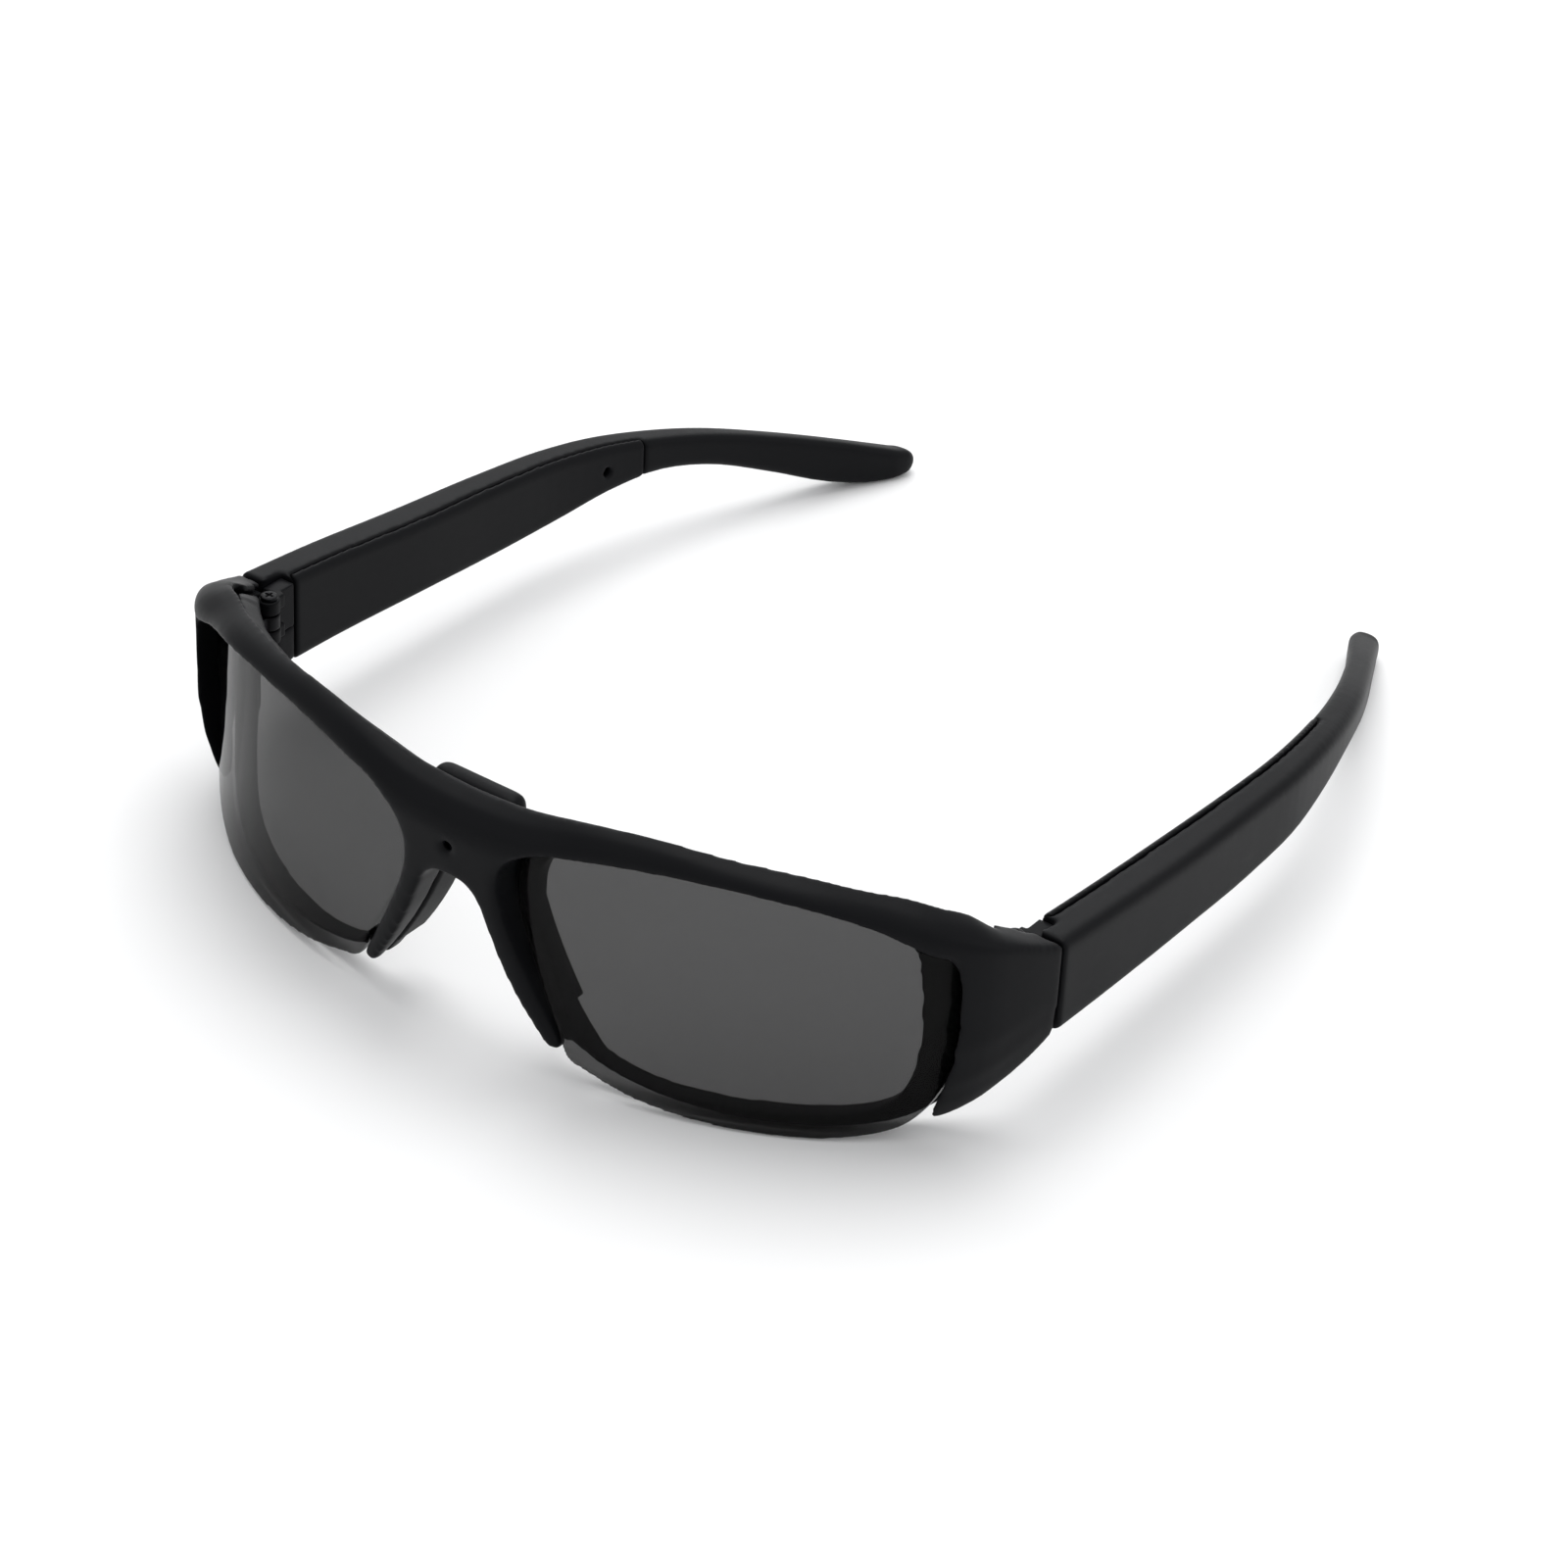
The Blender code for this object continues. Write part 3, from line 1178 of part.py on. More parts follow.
def build():
    global PARTS, CUTTERS
    clear_scene()
    PARTS = bpy.data.collections.new("smart_glasses")
    CUTTERS = bpy.data.collections.new("cutters")
    bpy.context.scene.collection.children.link(PARTS)
    bpy.context.scene.collection.children.link(CUTTERS)
    root = empty_at("glasses_origin", (0, ORIGIN_Y, 0))

    front = [front_shell(), rear_frame(), camera_housing(), camera_ribbon()] + camera_parts()
    temples = {"left": [], "right": []}
    for side in ("left", "right"):
        front += [lens(side), nose_pad(side), frame_screw(side), hinge_leaf_front(side), hinge_screw(side)]
        temples[side] += [temple_shell(side), temple_cover(side), hinge_leaf_temple(side)]
    left, right = electronics()
    temples["left"] += left
    temples["right"] += right
    attach(front, root, (0, 0, 0))

    x, y = hinge_axis()
    for side in ("left", "right"):
        place = (side_sign(side) * x, y, 0)
        fold = empty_at("fold_axis_" + side, place, root)
        attach(temples[side], fold, place)
        if side == "right":
            across, low = under_place(BUTTON_Y)
            button_place = (-across, BUTTON_Y, low)
            offset = Vector(button_place) - Vector(place)
            attach([record_button()], empty_at("button_axis", offset, fold), button_place)


build()
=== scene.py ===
"""Looks of the camera glasses: smooth moulded pieces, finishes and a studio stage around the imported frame."""

import json
import math

import bmesh
import bpy
from bpy.props import FloatProperty, FloatVectorProperty, IntProperty, PointerProperty
from mathutils import Matrix, Vector


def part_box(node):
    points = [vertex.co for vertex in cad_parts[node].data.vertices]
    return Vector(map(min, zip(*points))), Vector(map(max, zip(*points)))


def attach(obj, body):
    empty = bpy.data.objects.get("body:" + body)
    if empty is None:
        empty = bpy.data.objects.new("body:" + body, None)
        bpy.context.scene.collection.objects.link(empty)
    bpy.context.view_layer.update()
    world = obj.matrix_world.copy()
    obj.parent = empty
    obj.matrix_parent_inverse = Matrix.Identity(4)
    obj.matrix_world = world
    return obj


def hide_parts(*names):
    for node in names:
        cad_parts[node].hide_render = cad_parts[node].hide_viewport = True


bl_info = {
    "name": "Camera glasses",
    "version": (1, 0, 0),
    "blender": (4, 5, 0),
    "location": "3D View > Sidebar > Glasses",
    "description": "Builds the moulded pieces, finishes and stage of a pair of camera glasses",
    "category": "Object",
}

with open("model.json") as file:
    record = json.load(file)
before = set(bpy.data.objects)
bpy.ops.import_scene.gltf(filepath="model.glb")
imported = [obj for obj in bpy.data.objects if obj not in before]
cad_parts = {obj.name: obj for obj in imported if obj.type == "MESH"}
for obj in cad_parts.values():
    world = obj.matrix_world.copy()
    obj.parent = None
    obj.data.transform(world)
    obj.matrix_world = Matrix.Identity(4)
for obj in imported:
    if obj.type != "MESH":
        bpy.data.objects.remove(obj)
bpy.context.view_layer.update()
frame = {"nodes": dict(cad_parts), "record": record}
MM = 0.001
SIDES = ("left", "right")

# Curved lens: middle of its plan circle, radius of its front face, thickness and lean.
LENS_CENTRE = (0.0121, -0.0110)
LENS_RADIUS = 0.0720
LENS_THICKNESS = 0.0020
LENS_LEAN = math.radians(2.5)

# Facets of smaller mouldings, as shares of the large mouldings' facet.
PAD_FACET = 0.6
PLATE_FACET = 0.75
COVER_FACET = 0.7

# Lights: name, place, size in metres, power in watts and colour.
LIGHTS = (
    ("overhead_softbox", (-0.25, 0.35, 1.5), (1.1, 1.1), 14.0, (1.0, 1.0, 1.0)),
    ("side_softbox", (1.3, 0.5, 0.7), (0.9, 0.7), 2.0, (1.0, 1.0, 1.0)),
    ("rear_strip", (-0.9, 1.1, 0.75), (1.0, 0.35), 3.5, (0.98, 0.99, 1.0)),
)
LIGHT_AIM = (0.0, 0.0, 0.02)
AIR_COLOUR = (0.985, 0.99, 1.0, 1.0)
AIR_STRENGTH = 0.80
FLOOR_SIZE = 4.0
FLOOR_DROP = 0.02 * MM

# Camera: place, height and aim in the studio, in metres.
CAMERA_PLACE = (0.338633, -0.494878, 0.392396)
CAMERA_RIGHT = (0.802159, 0.595297, 0.046501)
CAMERA_UP = (-0.358420, 0.417753, 0.834876)
CAMERA_BACK = (0.477573, -0.686370, 0.548470)
CAMERA_LENS = 110.57
CAMERA_SENSOR = 36.0


# --- Finishes --------------------------------------------------------------------------------
class Value:
    """A shader socket on which arithmetic adds Math nodes."""

    def __init__(self, finish, socket):
        self.finish = finish
        self.socket = socket

    def _math(self, operation, first, second):
        return self.finish.node("ShaderNodeMath", {"operation": operation}, {0: first, 1: second})

    def __add__(self, other):
        return self._math("ADD", self, other)

    __radd__ = __add__

    def __sub__(self, other):
        return self._math("SUBTRACT", self, other)

    def __rsub__(self, other):
        return self._math("SUBTRACT", other, self)

    def __mul__(self, other):
        return self._math("MULTIPLY", self, other)

    __rmul__ = __mul__


class Finish:
    """One material; every node in it comes from the method node."""

    def __init__(self, name):
        self.material = bpy.data.materials.new(name)
        self.material.use_nodes = True
        self.tree = self.material.node_tree
        self.tree.nodes.clear()
        self.output = self.tree.nodes.new("ShaderNodeOutputMaterial")
        self.place = self.node("ShaderNodeTexCoord", out="Object")

    def node(self, kind, settings=None, sockets=None, out=0):
        made = self.tree.nodes.new(kind)
        for key, value in (settings or {}).items():
            setattr(made, key, value)
        for key, value in (sockets or {}).items():
            if isinstance(value, Value):
                self.tree.links.new(value.socket, made.inputs[key])
            else:
                made.inputs[key].default_value = value
        return Value(self, made.outputs[out])

    def noise(self, scale, detail=2.0, stretch=None):
        """Noise between 0 and 1, with a scale in cycles a metre."""
        place = self.place
        if stretch:
            place = self.node("ShaderNodeMapping", None, {"Vector": place, "Scale": stretch})
        sockets = {"Vector": place, "Scale": scale, "Detail": detail}
        return self.node("ShaderNodeTexNoise", None, sockets, "Fac")

    def steps(self, value, low, high):
        """Value spread from low..high to 0..1, and held there."""
        sockets = {"Value": value, "From Min": low, "From Max": high}
        return self.node("ShaderNodeMapRange", {"clamp": True}, sockets, "Result")

    def blend(self, mask, first, second):
        """Colour between two colours."""
        sockets = {"Factor": mask, "A": colour(first), "B": colour(second)}
        made = self.node("ShaderNodeMix", {"data_type": "RGBA"}, None, 2)
        for socket in made.socket.node.inputs:
            key = {"Factor_Float": "Factor", "A_Color": "A", "B_Color": "B"}.get(socket.identifier)
            if key == "Factor":
                self.tree.links.new(mask.socket, socket)
            elif key:
                socket.default_value = sockets[key]
        return made

    def bump(self, height, strength, distance):
        return self.node("ShaderNodeBump", None, {"Height": height, "Strength": strength, "Distance": distance})

    def surface(self, sockets):
        shader = self.node("ShaderNodeBsdfPrincipled", None, sockets)
        self.tree.links.new(shader.socket, self.output.inputs["Surface"])
        return self.material


def colour(value):
    return (*value, 1.0) if len(value) == 3 else tuple(value)


def lighter(value, share):
    return tuple(min(channel * share, 1.0) for channel in value)


def matte_plastic(name, tint, grain=5200.0, roughness=0.42):
    """Soft black moulding: fine eroded grain, faint flow marks and small handling marks."""
    finish = Finish(name)
    fine = finish.noise(grain, 3.0)
    peel = finish.noise(grain / 9.0, 2.0)
    cloud = finish.noise(70.0, 4.0)
    marks = finish.steps(finish.noise(420.0, 5.0, (1.0, 0.35, 1.0)), 0.58, 0.78)
    height = fine * 0.7 + peel * 0.3
    shade = finish.blend(cloud * 0.7 + fine * 0.3, lighter(tint, 0.82), lighter(tint, 1.22))
    rough = roughness + (cloud - 0.5) * 0.09 + (fine - 0.5) * 0.10 - marks * 0.035
    return finish.surface({
        "Base Color": shade, "Roughness": rough, "Specular IOR Level": 0.06,
        "Normal": finish.bump(height, 0.22, 0.00006)})


def soft_touch(name, tint):
    finish = Finish(name)
    fine = finish.noise(3800.0, 2.0)
    cloud = finish.noise(110.0, 3.0)
    return finish.surface({
        "Base Color": finish.blend(cloud, lighter(tint, 0.85), lighter(tint, 1.2)),
        "Roughness": 0.52 + (cloud - 0.5) * 0.1 + (fine - 0.5) * 0.06,
        "Specular IOR Level": 0.08, "Normal": finish.bump(fine, 0.15, 0.00004)})


def tinted_lens(name, tint, cover):
    """Dark polished lens that lets a little light through, with faint wiping marks."""
    finish = Finish(name)
    smear = finish.steps(finish.noise(55.0, 4.0, (0.5, 1.0, 1.6)), 0.45, 0.75)
    specks = finish.steps(finish.noise(2600.0, 1.0), 0.76, 0.80)
    return finish.surface({
        "Base Color": finish.blend(smear, tint, lighter(tint, 1.15)),
        "Roughness": 0.035 + smear * 0.035 + specks * 0.1,
        "Specular IOR Level": 0.08, "Alpha": cover})


def metal(name, tint, roughness, stretch):
    finish = Finish(name)
    lines = finish.noise(2600.0, 4.0, stretch)
    wear = finish.noise(300.0, 3.0)
    return finish.surface({
        "Base Color": finish.blend(wear, lighter(tint, 0.8), lighter(tint, 1.25)), "Metallic": 1.0,
        "Roughness": roughness + (lines - 0.5) * 0.18,
        "Normal": finish.bump(lines, 0.12, 0.00003)})


def circuit_board(name, tint):
    """Solder mask with tracks running along the board and small pads."""
    finish = Finish(name)
    sockets = {"Vector": finish.place, "Scale": 620.0, "Distortion": 1.2, "Detail": 1.0}
    waves = finish.node("ShaderNodeTexWave", {"bands_direction": "Z"}, sockets, "Fac")
    tracks = finish.steps(waves, 0.62, 0.70)
    cells = finish.node("ShaderNodeTexVoronoi", None, {"Vector": finish.place, "Scale": 800.0}, "Distance")
    pads = 1.0 - finish.steps(cells, 0.16, 0.20)
    return finish.surface({
        "Base Color": finish.blend(pads, lighter(tint, 1.0), (0.55, 0.42, 0.18)), "Metallic": pads * 0.9,
        "Roughness": 0.42 - tracks * 0.12, "Normal": finish.bump(tracks + pads, 0.35, 0.00005)})


def foil(name, tint):
    finish = Finish(name)
    creases = finish.noise(420.0, 5.0)
    return finish.surface({
        "Base Color": finish.blend(creases, lighter(tint, 0.85), lighter(tint, 1.1)), "Metallic": 0.8,
        "Roughness": 0.34 + (creases - 0.5) * 0.2, "Normal": finish.bump(creases, 0.3, 0.00015)})


def flex_film(name, tint):
    finish = Finish(name)
    sockets = {"Vector": finish.place, "Scale": 900.0}
    lines = finish.steps(finish.node("ShaderNodeTexWave", {"bands_direction": "Z"}, sockets, "Fac"), 0.45, 0.55)
    return finish.surface({
        "Base Color": finish.blend(lines, tint, lighter(tint, 1.5)), "Roughness": 0.32 + lines * 0.1,
        "Normal": finish.bump(lines, 0.2, 0.00003)})


def frosted(name, tint):
    finish = Finish(name)
    fine = finish.noise(4200.0, 2.0)
    return finish.surface({
        "Base Color": finish.blend(fine, lighter(tint, 0.85), lighter(tint, 1.1)),
        "Roughness": 0.4 + (fine - 0.5) * 0.2, "Subsurface Weight": 0.2, "Normal": finish.bump(fine, 0.2, 0.00003)})


def camera_glass(name, tint):
    """Coated glass: dark, with a faint violet bloom."""
    finish = Finish(name)
    bloom = finish.noise(380.0, 1.0)
    return finish.surface({
        "Base Color": finish.blend(bloom, tint, (0.012, 0.006, 0.020)), "Roughness": 0.03 + bloom * 0.02,
        "Coat Weight": 1.0, "Coat Roughness": 0.02})


MADE = {}


def finish_for(slot):
    """The material for one of the record's material slots, made once."""
    if slot not in MADE:
        looks = bpy.context.scene.glasses_looks
        makers = {
            "matte_black": lambda: matte_plastic("moulded_black", looks.plastic),
            "soft_pad": lambda: soft_touch("soft_nose_pad", looks.pad),
            "lens_tint": lambda: tinted_lens("tinted_lens", looks.lens, looks.lens_cover),
            "dark_steel": lambda: metal("blackened_steel", looks.steel, 0.45, (1.0, 1.0, 0.2)),
            "circuit_board": lambda: circuit_board("solder_mask", looks.board),
            "cell_foil": lambda: foil("cell_foil", looks.foil),
            "chip_black": lambda: matte_plastic("chip_resin", looks.chip, 7000.0, 0.5),
            "flex_ribbon": lambda: flex_film("flex_film", looks.film),
            "camera_glass": lambda: camera_glass("camera_glass", looks.glass),
            "light_pipe": lambda: frosted("frosted_light_pipe", looks.light_pipe),
        }
        MADE[slot] = makers[slot]()
    return MADE[slot]


# --- Shapes ----------------------------------------------------------------------------------
def merged(node):
    """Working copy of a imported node's mesh, with its loose triangles joined."""
    shape = bmesh.new()
    shape.from_mesh(frame["nodes"][node].data)
    bmesh.ops.remove_doubles(shape, verts=shape.verts, dist=0.002 * MM)
    return shape


def new_piece(name, shape):
    """Object at the origin from a bmesh, shaded smooth."""
    mesh = bpy.data.meshes.new(name)
    shape.to_mesh(mesh)
    shape.free()
    piece = bpy.data.objects.new(name, mesh)
    bpy.context.scene.collection.objects.link(piece)
    mesh.polygons.foreach_set("use_smooth", [True] * len(mesh.polygons))
    return piece


def evaluated(piece):
    """The piece's mesh with its modifiers applied, as a bmesh."""
    graph = bpy.context.evaluated_depsgraph_get()
    shape = bmesh.new()
    shape.from_object(piece, graph)
    mesh = piece.data
    bpy.data.objects.remove(piece)
    bpy.data.meshes.remove(mesh)
    return shape


def rounded(shape, voxel, passes):
    """The shape remade in even facets of one size, then eased so that its edges are soft."""
    raw = new_piece("raw", shape)
    step = raw.modifiers.new("even_facets", "REMESH")
    step.mode = "VOXEL"
    step.voxel_size = voxel
    bpy.context.view_layer.update()
    even = evaluated(raw)
    for _ in range(passes):
        bmesh.ops.smooth_vert(even, verts=even.verts, factor=0.5, use_axis_x=True, use_axis_y=True, use_axis_z=True)
    return even


def dressed(piece, slot, body, *nodes):
    """Give a piece its finish, hide the imported nodes it stands for and attach it to what it moves with."""
    piece.data.materials.clear()
    piece.data.materials.append(finish_for(slot))
    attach(piece, body)
    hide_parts(*nodes)
    return piece


def moulded(name, node, body, slot, voxel, passes, grown=0.0):
    """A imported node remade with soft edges, then grown to make up for what the easing took off."""
    shape = rounded(merged(node), voxel, passes)
    shape.normal_update()
    for vert in shape.verts:
        vert.co += vert.normal * grown
    return dressed(new_piece(name, shape), slot, body, node)


def turned(name, profile, place, axis="Z"):
    """A piece spun from a profile of (radius, height) points about an axis through a place."""
    shape = bmesh.new()
    ends = [shape.verts.new((radius, 0.0, height)) for radius, height in profile]
    edges = [shape.edges.new(pair) for pair in zip(ends, ends[1:])]
    bmesh.ops.spin(shape, geom=ends + edges, cent=(0, 0, 0), axis=(0, 0, 1), angle=2 * math.pi,
                   steps=48, use_merge=True)
    bmesh.ops.remove_doubles(shape, verts=shape.verts, dist=0.002 * MM)
    turn = {"Z": Matrix(), "-Z": Matrix.Rotation(math.pi, 4, "X"), "-Y": Matrix.Rotation(math.pi / 2, 4, "X"),
            "Y": Matrix.Rotation(-math.pi / 2, 4, "X")}[axis]
    bmesh.ops.transform(shape, matrix=Matrix.Translation(place) @ turn, verts=shape.verts)
    bmesh.ops.recalc_face_normals(shape, faces=shape.faces)
    return new_piece(name, shape)


def cross_recess(piece, place, axis, length, width, depth):
    """Cut a cross-shaped driver recess into a screw's head."""
    tools = []
    for turn in (0.0, math.pi / 2):
        shape = bmesh.new()
        bmesh.ops.create_cube(shape, size=1.0)
        size = Matrix.Diagonal((length, width, depth, 1.0))
        spin = Matrix.Rotation(turn, 4, "Z")
        lay = Matrix.Rotation(math.pi / 2, 4, "X") if axis == "Y" else Matrix()
        bmesh.ops.transform(shape, matrix=Matrix.Translation(place) @ lay @ spin @ size, verts=shape.verts)
        tools.append(new_piece("recess", shape))
    for tool in tools:
        step = piece.modifiers.new("recess", "BOOLEAN")
        step.operation = "DIFFERENCE"
        step.solver = "EXACT"
        step.object = tool
    bpy.context.view_layer.update()
    name = piece.name
    cutters = [(tool, tool.data) for tool in tools]
    shape = evaluated(piece)
    for tool, mesh in cutters:
        bpy.data.objects.remove(tool)
        bpy.data.meshes.remove(mesh)
    bmesh.ops.bevel(shape, geom=[edge for edge in shape.edges if edge.is_manifold and edge.calc_face_angle() > 0.6],
                    offset=0.03 * MM, affect="EDGES", segments=1, profile=0.5, material=-1)
    return new_piece(name, shape)


def true_lens(shape, side):
    """Bring a lens's two faces exactly onto its curved surfaces, leaving its edge round."""
    sign = 1 if side == "left" else -1
    shape.normal_update()
    moves = []
    for vert in shape.verts:
        x = vert.co.x * sign - LENS_CENTRE[0]
        y = vert.co.y - vert.co.z * math.tan(LENS_LEAN) - LENS_CENTRE[1]
        radius = math.hypot(x, y)
        depth = LENS_RADIUS - radius
        facing = abs(vert.normal.x * sign * x + vert.normal.y * y) / radius
        hold = min(max((facing - 0.72) / 0.2, 0.0), 1.0)
        target = 0.0 if depth < LENS_THICKNESS / 2 else LENS_THICKNESS
        wanted = radius + (depth - target) * hold
        share = wanted / radius
        moves.append((vert, x * share, y * share))
    for vert, x, y in moves:
        vert.co.x = (x + LENS_CENTRE[0]) * sign
        vert.co.y = y + LENS_CENTRE[1] + vert.co.z * math.tan(LENS_LEAN)


# --- Sizes and colours a user would change ---------------------------------------------------
class GlassesMouldings(bpy.types.PropertyGroup):
    """How finely the pieces are made and how soft their edges are."""

    facet: FloatProperty(name="Facet", description="Size of the even facets of the large mouldings",
                         default=0.00029, unit="LENGTH", precision=6)
    fine_facet: FloatProperty(name="Fine facet", description="Size of the facets of small parts",
                              default=0.00014, unit="LENGTH", precision=6)
    softness: IntProperty(name="Softness", description="Easing passes on the large mouldings", default=28)
    lens_softness: IntProperty(name="Lens edge", description="Easing passes on the lenses' edges", default=12)
    small_softness: IntProperty(name="Small softness", description="Easing passes on the temples", default=10)
    plate_softness: IntProperty(name="Plate softness", description="Easing passes on the temples' inner plates",
                                default=6)
    pad_softness: IntProperty(name="Pad softness", description="Easing passes on the nose pads", default=12)
    pad_growth: FloatProperty(name="Pad growth", description="Made up on the nose pads after easing",
                              default=0.00013, unit="LENGTH", precision=6)
    plate_growth: FloatProperty(name="Plate growth", description="Made up on the inner plates after easing",
                                default=0.00006, unit="LENGTH", precision=6)
    screw_radius: FloatProperty(name="Screw head", description="Radius of the hinge screws' heads",
                                default=0.0013, unit="LENGTH", precision=6)


class GlassesLooks(bpy.types.PropertyGroup):
    """Colours of the finishes."""

    plastic: FloatVectorProperty(name="Plastic", description="Colour of the black mouldings", subtype="COLOR",
                                 default=(0.0050, 0.0052, 0.0060), min=0.0, max=1.0)
    lens: FloatVectorProperty(name="Lens", description="Body colour of the lenses", subtype="COLOR",
                              default=(0.0035, 0.0034, 0.0036), min=0.0, max=1.0)
    lens_cover: FloatProperty(name="Lens cover", description="Share of light that each lens face stops",
                              subtype="FACTOR", default=0.715, min=0.0, max=1.0)
    pad: FloatVectorProperty(name="Nose pad", description="Colour of the nose pads", subtype="COLOR",
                             default=(0.0060, 0.0062, 0.0067), min=0.0, max=1.0)
    steel: FloatVectorProperty(name="Steel", description="Colour of the hinge steel", subtype="COLOR",
                               default=(0.012, 0.012, 0.013), min=0.0, max=1.0)
    board: FloatVectorProperty(name="Board", description="Colour of the circuit boards", subtype="COLOR",
                               default=(0.012, 0.075, 0.032), min=0.0, max=1.0)
    foil: FloatVectorProperty(name="Foil", description="Colour of the cell's foil", subtype="COLOR",
                              default=(0.45, 0.46, 0.48), min=0.0, max=1.0)
    chip: FloatVectorProperty(name="Chip", description="Colour of the chips and the button", subtype="COLOR",
                              default=(0.010, 0.010, 0.011), min=0.0, max=1.0)
    film: FloatVectorProperty(name="Film", description="Colour of the flexible circuit", subtype="COLOR",
                              default=(0.30, 0.13, 0.025), min=0.0, max=1.0)
    glass: FloatVectorProperty(name="Glass", description="Colour of the camera's window", subtype="COLOR",
                               default=(0.004, 0.004, 0.006), min=0.0, max=1.0)
    light_pipe: FloatVectorProperty(name="Light", description="Colour of the status light", subtype="COLOR",
                                    default=(0.60, 0.65, 0.70), min=0.0, max=1.0)
    floor: FloatVectorProperty(name="Floor", description="Colour of the studio floor", subtype="COLOR",
                               default=(0.88, 0.88, 0.88), min=0.0, max=1.0)


# --- Operators: one for each piece or group of like pieces -----------------------------------
class MakeFront(bpy.types.Operator):
    """Make the front moulding: brow, bridge, nose arms and endpieces"""

    bl_idname = "glasses.make_front"
    bl_label = "Front moulding"

    def execute(self, context):
        sizes = context.scene.glasses_mouldings
        moulded("front_moulding", "front_shell", "frame", "matte_black", sizes.facet, sizes.softness)
        return {"FINISHED"}


class MakeRearFrame(bpy.types.Operator):
    """Make the inner frame behind the lenses and the camera's housing"""

    bl_idname = "glasses.make_rear_frame"
    bl_label = "Inner frame"

    def execute(self, context):
        sizes = context.scene.glasses_mouldings
        moulded("inner_frame", "rear_frame", "frame", "matte_black", sizes.facet, sizes.softness // 2)
        moulded("camera_cover", "camera_housing", "frame", "matte_black", sizes.facet * COVER_FACET,
                sizes.softness)
        return {"FINISHED"}


class MakeLenses(bpy.types.Operator):
    """Make the two curved lenses"""

    bl_idname = "glasses.make_lenses"
    bl_label = "Lenses"

    def execute(self, context):
        sizes = context.scene.glasses_mouldings
        for side in SIDES:
            shape = rounded(merged("lens_" + side), sizes.facet, sizes.lens_softness)
            true_lens(shape, side)
            dressed(new_piece("tinted_lens_" + side, shape), "lens_tint", "frame", "lens_" + side)
        return {"FINISHED"}


class MakeNosePads(bpy.types.Operator):
    """Make the soft nose pads"""

    bl_idname = "glasses.make_nose_pads"
    bl_label = "Nose pads"

    def execute(self, context):
        sizes = context.scene.glasses_mouldings
        for side in SIDES:
            moulded("soft_pad_" + side, "nose_pad_" + side, "frame", "soft_pad", sizes.facet * PAD_FACET,
                    sizes.pad_softness, sizes.pad_growth)
        return {"FINISHED"}


class MakeTemples(bpy.types.Operator):
    """Make the temples' shells and inner covers"""

    bl_idname = "glasses.make_temples"
    bl_label = "Temples"

    def execute(self, context):
        sizes = context.scene.glasses_mouldings
        for side in SIDES:
            body = "temple_" + side
            moulded("temple_moulding_" + side, "temple_shell_" + side, body, "matte_black", sizes.facet,
                    sizes.small_softness)
            moulded("temple_plate_" + side, "temple_cover_" + side, body, "matte_black",
                    sizes.facet * PLATE_FACET, sizes.plate_softness, sizes.plate_growth)
        return {"FINISHED"}


class MakeHinges(bpy.types.Operator):
    """Make the hinge leaves and their screws"""

    bl_idname = "glasses.make_hinges"
    bl_label = "Hinges"

    def execute(self, context):
        sizes = context.scene.glasses_mouldings
        for side in SIDES:
            moulded("hinge_tongue_" + side, "hinge_leaf_front_" + side, "frame", "dark_steel", sizes.fine_facet, 4)
            moulded("hinge_fork_" + side, "hinge_leaf_temple_" + side, "temple_" + side, "matte_black",
                    sizes.fine_facet, 6)
            low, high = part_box("hinge_screw_" + side)
            middle = (Vector(low) + Vector(high)) / 2
            tall = high[2] - low[2]
            head = sizes.screw_radius
            shank = 0.46 * head
            base = tall - 0.38 * head
            profile = [(0.0, 0.0), (0.8 * shank, 0.0), (shank, 0.2 * shank), (shank, base), (0.94 * head, base),
                       (head, base + 0.06 * head), (head, tall - 0.14 * head), (0.92 * head, tall - 0.04 * head),
                       (0.6 * head, tall), (0.0, tall)]
            name = "hinge_pin_" + side
            piece = turned(name, profile, (middle.x, middle.y, low[2]))
            piece = cross_recess(piece, (middle.x, middle.y, high[2]), "Z", 1.1 * head, 0.24 * head, 0.5 * head)
            dressed(piece, "dark_steel", "frame", "hinge_screw_" + side)
        return {"FINISHED"}


class MakeFrameScrews(bpy.types.Operator):
    """Make the two screws that hold the inner frame to the front"""

    bl_idname = "glasses.make_frame_screws"
    bl_label = "Frame screws"

    def execute(self, context):
        for side in SIDES:
            low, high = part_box("frame_screw_" + side)
            middle = (Vector(low) + Vector(high)) / 2
            head = (high[0] - low[0]) / 2
            long = high[1] - low[1]
            shank = 0.57 * head
            base = long - 0.6 * head
            profile = [(0.0, 0.0), (0.4 * shank, 0.0), (shank, 0.5 * shank)]
            turns = 6
            for turn in range(turns):
                at = 0.5 * shank + (base - 0.7 * shank) * turn / turns
                pitch = (base - 0.7 * shank) / turns
                profile += [(0.84 * shank, at + 0.25 * pitch), (shank, at + 0.75 * pitch)]
            profile += [(0.9 * shank, base), (0.95 * head, base), (head, base + 0.05 * head),
                        (head, long - 0.12 * head), (0.9 * head, long - 0.03 * head), (0.6 * head, long), (0.0, long)]
            piece = turned("frame_fixing_" + side, profile, (middle.x, low[1], middle.z), "Y")
            piece = cross_recess(piece, (middle.x, high[1], middle.z), "Y", 1.15 * head, 0.24 * head, 0.6 * head)
            dressed(piece, "dark_steel", "frame", "frame_screw_" + side)
        return {"FINISHED"}


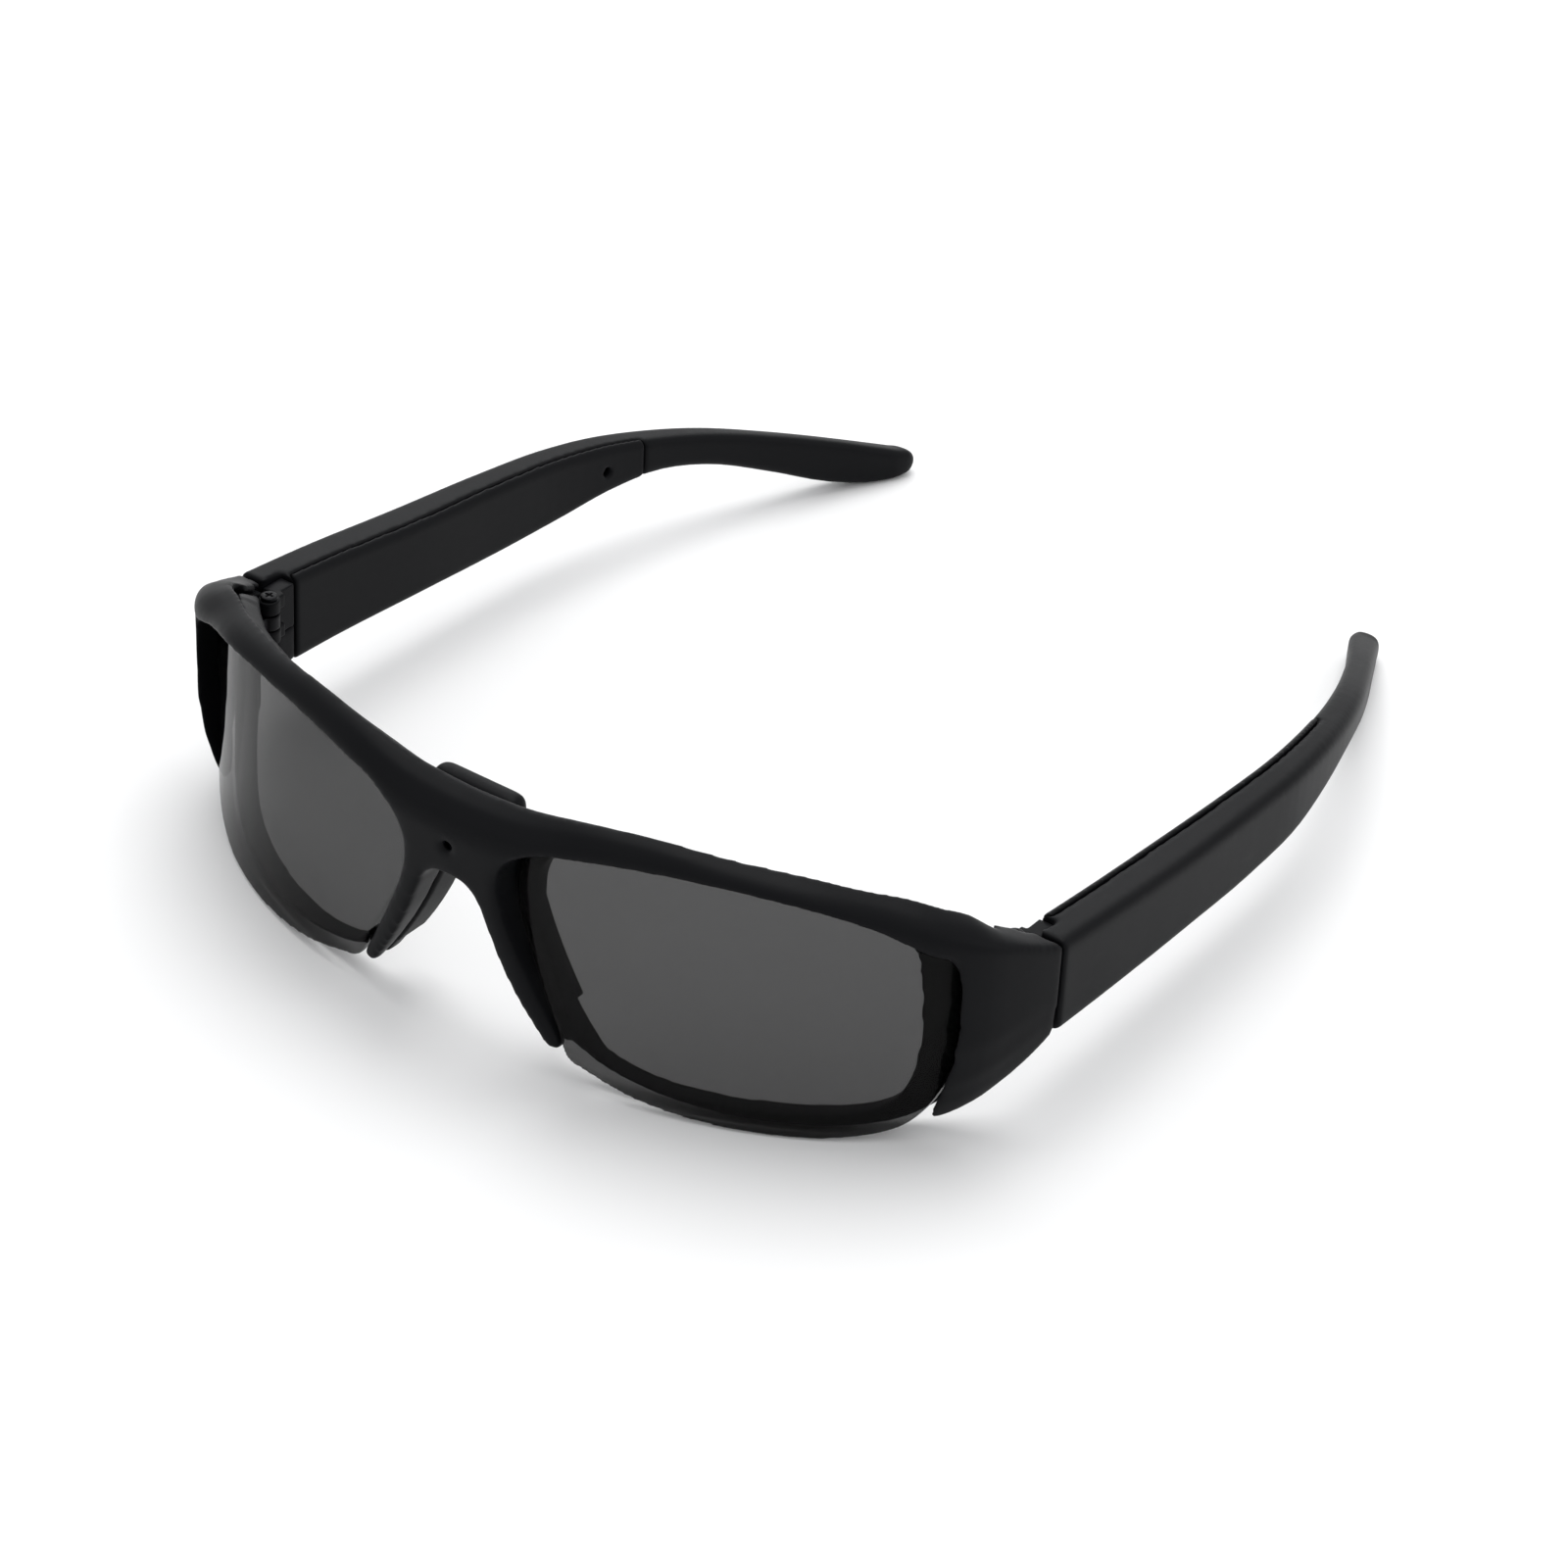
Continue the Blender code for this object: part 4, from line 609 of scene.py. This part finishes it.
class MakeCamera(bpy.types.Operator):
    """Make the camera's window and its stepped barrel"""

    bl_idname = "glasses.make_camera"
    bl_label = "Camera"

    def execute(self, context):
        low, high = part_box("camera_window")
        middle = (Vector(low) + Vector(high)) / 2
        wide = (high[0] - low[0]) / 2
        deep = high[1] - low[1]
        profile = [(0.0, 0.0), (0.94 * wide, 0.0), (wide, 0.1 * deep), (wide, 0.75 * deep), (0.9 * wide, 0.88 * deep),
                   (0.45 * wide, 0.95 * deep), (0.2 * wide, 0.99 * deep), (0.0, deep)]
        window = turned("camera_front_glass", profile, (0.0, high[1], middle.z), "-Y")
        dressed(window, "camera_glass", "frame", "camera_window")
        low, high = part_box("camera_barrel")
        wide = (high[0] - low[0]) / 2
        deep = high[1] - low[1]
        profile = [(0.0, 0.0), (0.97 * wide, 0.0), (wide, 0.03 * wide), (wide, 0.55 * deep), (0.9 * wide, 0.58 * deep),
                   (0.9 * wide, 0.95 * deep), (0.86 * wide, deep), (0.5 * wide, deep), (0.42 * wide, 0.8 * deep),
                   (0.0, 0.76 * deep)]
        barrel = turned("camera_lens_barrel", profile, (0.0, high[1], middle.z), "-Y")
        dressed(barrel, "chip_black", "frame", "camera_barrel")
        return {"FINISHED"}


class MakeControls(bpy.types.Operator):
    """Make the record button, the status light, the microphone and the charging socket"""

    bl_idname = "glasses.make_controls"
    bl_label = "Controls"

    def execute(self, context):
        fine = context.scene.glasses_mouldings.fine_facet
        moulded("record_key", "record_button", "record_button", "chip_black", fine, 6)
        moulded("socket_shell", "port_shell", "temple_left", "dark_steel", 0.75 * fine, 3)
        moulded("socket_tongue", "port_tongue", "temple_left", "chip_black", 0.75 * fine, 3)
        moulded("status_lamp", "status_light", "temple_right", "light_pipe", 0.6 * fine, 5)
        moulded("microphone_can", "microphone", "temple_right", "dark_steel", 0.8 * fine, 4)
        return {"FINISHED"}


class DressInnerParts(bpy.types.Operator):
    """Give the sealed inner parts their finishes"""

    bl_idname = "glasses.dress_inner_parts"
    bl_label = "Inner parts"

    def execute(self, context):
        for entry in frame["record"]["subparts"]:
            node = frame["nodes"][entry["node"]]
            node.data.materials.clear()
            node.data.materials.append(finish_for(entry["material_slot"]))
        return {"FINISHED"}


def area_light(name, place, size, energy, tint):
    light = bpy.data.lights.new(name, "AREA")
    light.shape = "RECTANGLE"
    light.size, light.size_y = size
    light.energy = energy
    light.color = tint
    lamp = bpy.data.objects.new(name, light)
    lamp.location = place
    lamp.rotation_euler = (Vector(LIGHT_AIM) - Vector(place)).to_track_quat("-Z", "Y").to_euler()
    bpy.context.scene.collection.objects.link(lamp)


class SetStage(bpy.types.Operator):
    """Set the pale floor, the soft lights and the camera"""

    bl_idname = "glasses.set_stage"
    bl_label = "Stage"

    def execute(self, context):
        scene = context.scene
        scene.view_settings.view_transform = "Standard"
        shape = bmesh.new()
        bmesh.ops.create_grid(shape, x_segments=8, y_segments=8, size=FLOOR_SIZE)
        bmesh.ops.translate(shape, vec=(0, 0, -FLOOR_DROP), verts=shape.verts)
        floor = new_piece("studio_floor", shape)
        finish = Finish("floor_paper")
        fibre = finish.noise(900.0, 3.0)
        floor.data.materials.append(finish.surface({
            "Base Color": colour(scene.glasses_looks.floor), "Roughness": 0.7 + (fibre - 0.5) * 0.1,
            "Specular IOR Level": 0.1}))
        for light in LIGHTS:
            area_light(*light)
        world = bpy.data.worlds.new("studio_air")
        world.use_nodes = True
        sky = world.node_tree.nodes["Background"]
        sky.inputs["Color"].default_value = AIR_COLOUR
        sky.inputs["Strength"].default_value = AIR_STRENGTH
        scene.world = world
        lens = bpy.data.cameras.new("studio_camera")
        lens.lens = CAMERA_LENS
        lens.sensor_width = CAMERA_SENSOR
        lens.clip_start = 0.01
        camera = bpy.data.objects.new("studio_camera", lens)
        aim = Matrix((CAMERA_RIGHT, CAMERA_UP, CAMERA_BACK)).transposed()
        camera.matrix_world = Matrix.Translation(CAMERA_PLACE) @ aim.to_4x4()
        scene.collection.objects.link(camera)
        scene.camera = camera
        return {"FINISHED"}


STEPS = (MakeFront, MakeRearFrame, MakeLenses, MakeNosePads, MakeTemples, MakeHinges, MakeFrameScrews,
         MakeCamera, MakeControls, DressInnerParts, SetStage)


class GlassesPanel(bpy.types.Panel):
    """Lists the pieces and the sizes and colours"""

    bl_idname = "VIEW3D_PT_glasses"
    bl_label = "Camera glasses"
    bl_space_type = "VIEW_3D"
    bl_region_type = "UI"
    bl_category = "Glasses"

    def draw(self, context):
        for group in (context.scene.glasses_mouldings, context.scene.glasses_looks):
            for key in group.bl_rna.properties.keys():
                if key not in ("rna_type", "name"):
                    self.layout.prop(group, key)
        for step in STEPS:
            self.layout.operator(step.bl_idname)


CLASSES = (GlassesMouldings, GlassesLooks) + STEPS + (GlassesPanel,)


def register():
    for item in CLASSES:
        bpy.utils.register_class(item)
    bpy.types.Scene.glasses_mouldings = PointerProperty(type=GlassesMouldings)
    bpy.types.Scene.glasses_looks = PointerProperty(type=GlassesLooks)


def unregister():
    del bpy.types.Scene.glasses_looks
    del bpy.types.Scene.glasses_mouldings
    for item in reversed(CLASSES):
        bpy.utils.unregister_class(item)


def main():
    register()
    for step in STEPS:
        group, name = step.bl_idname.split(".")
        getattr(getattr(bpy.ops, group), name)()
    bpy.context.view_layer.update()


if __name__ == "__main__":
    main()
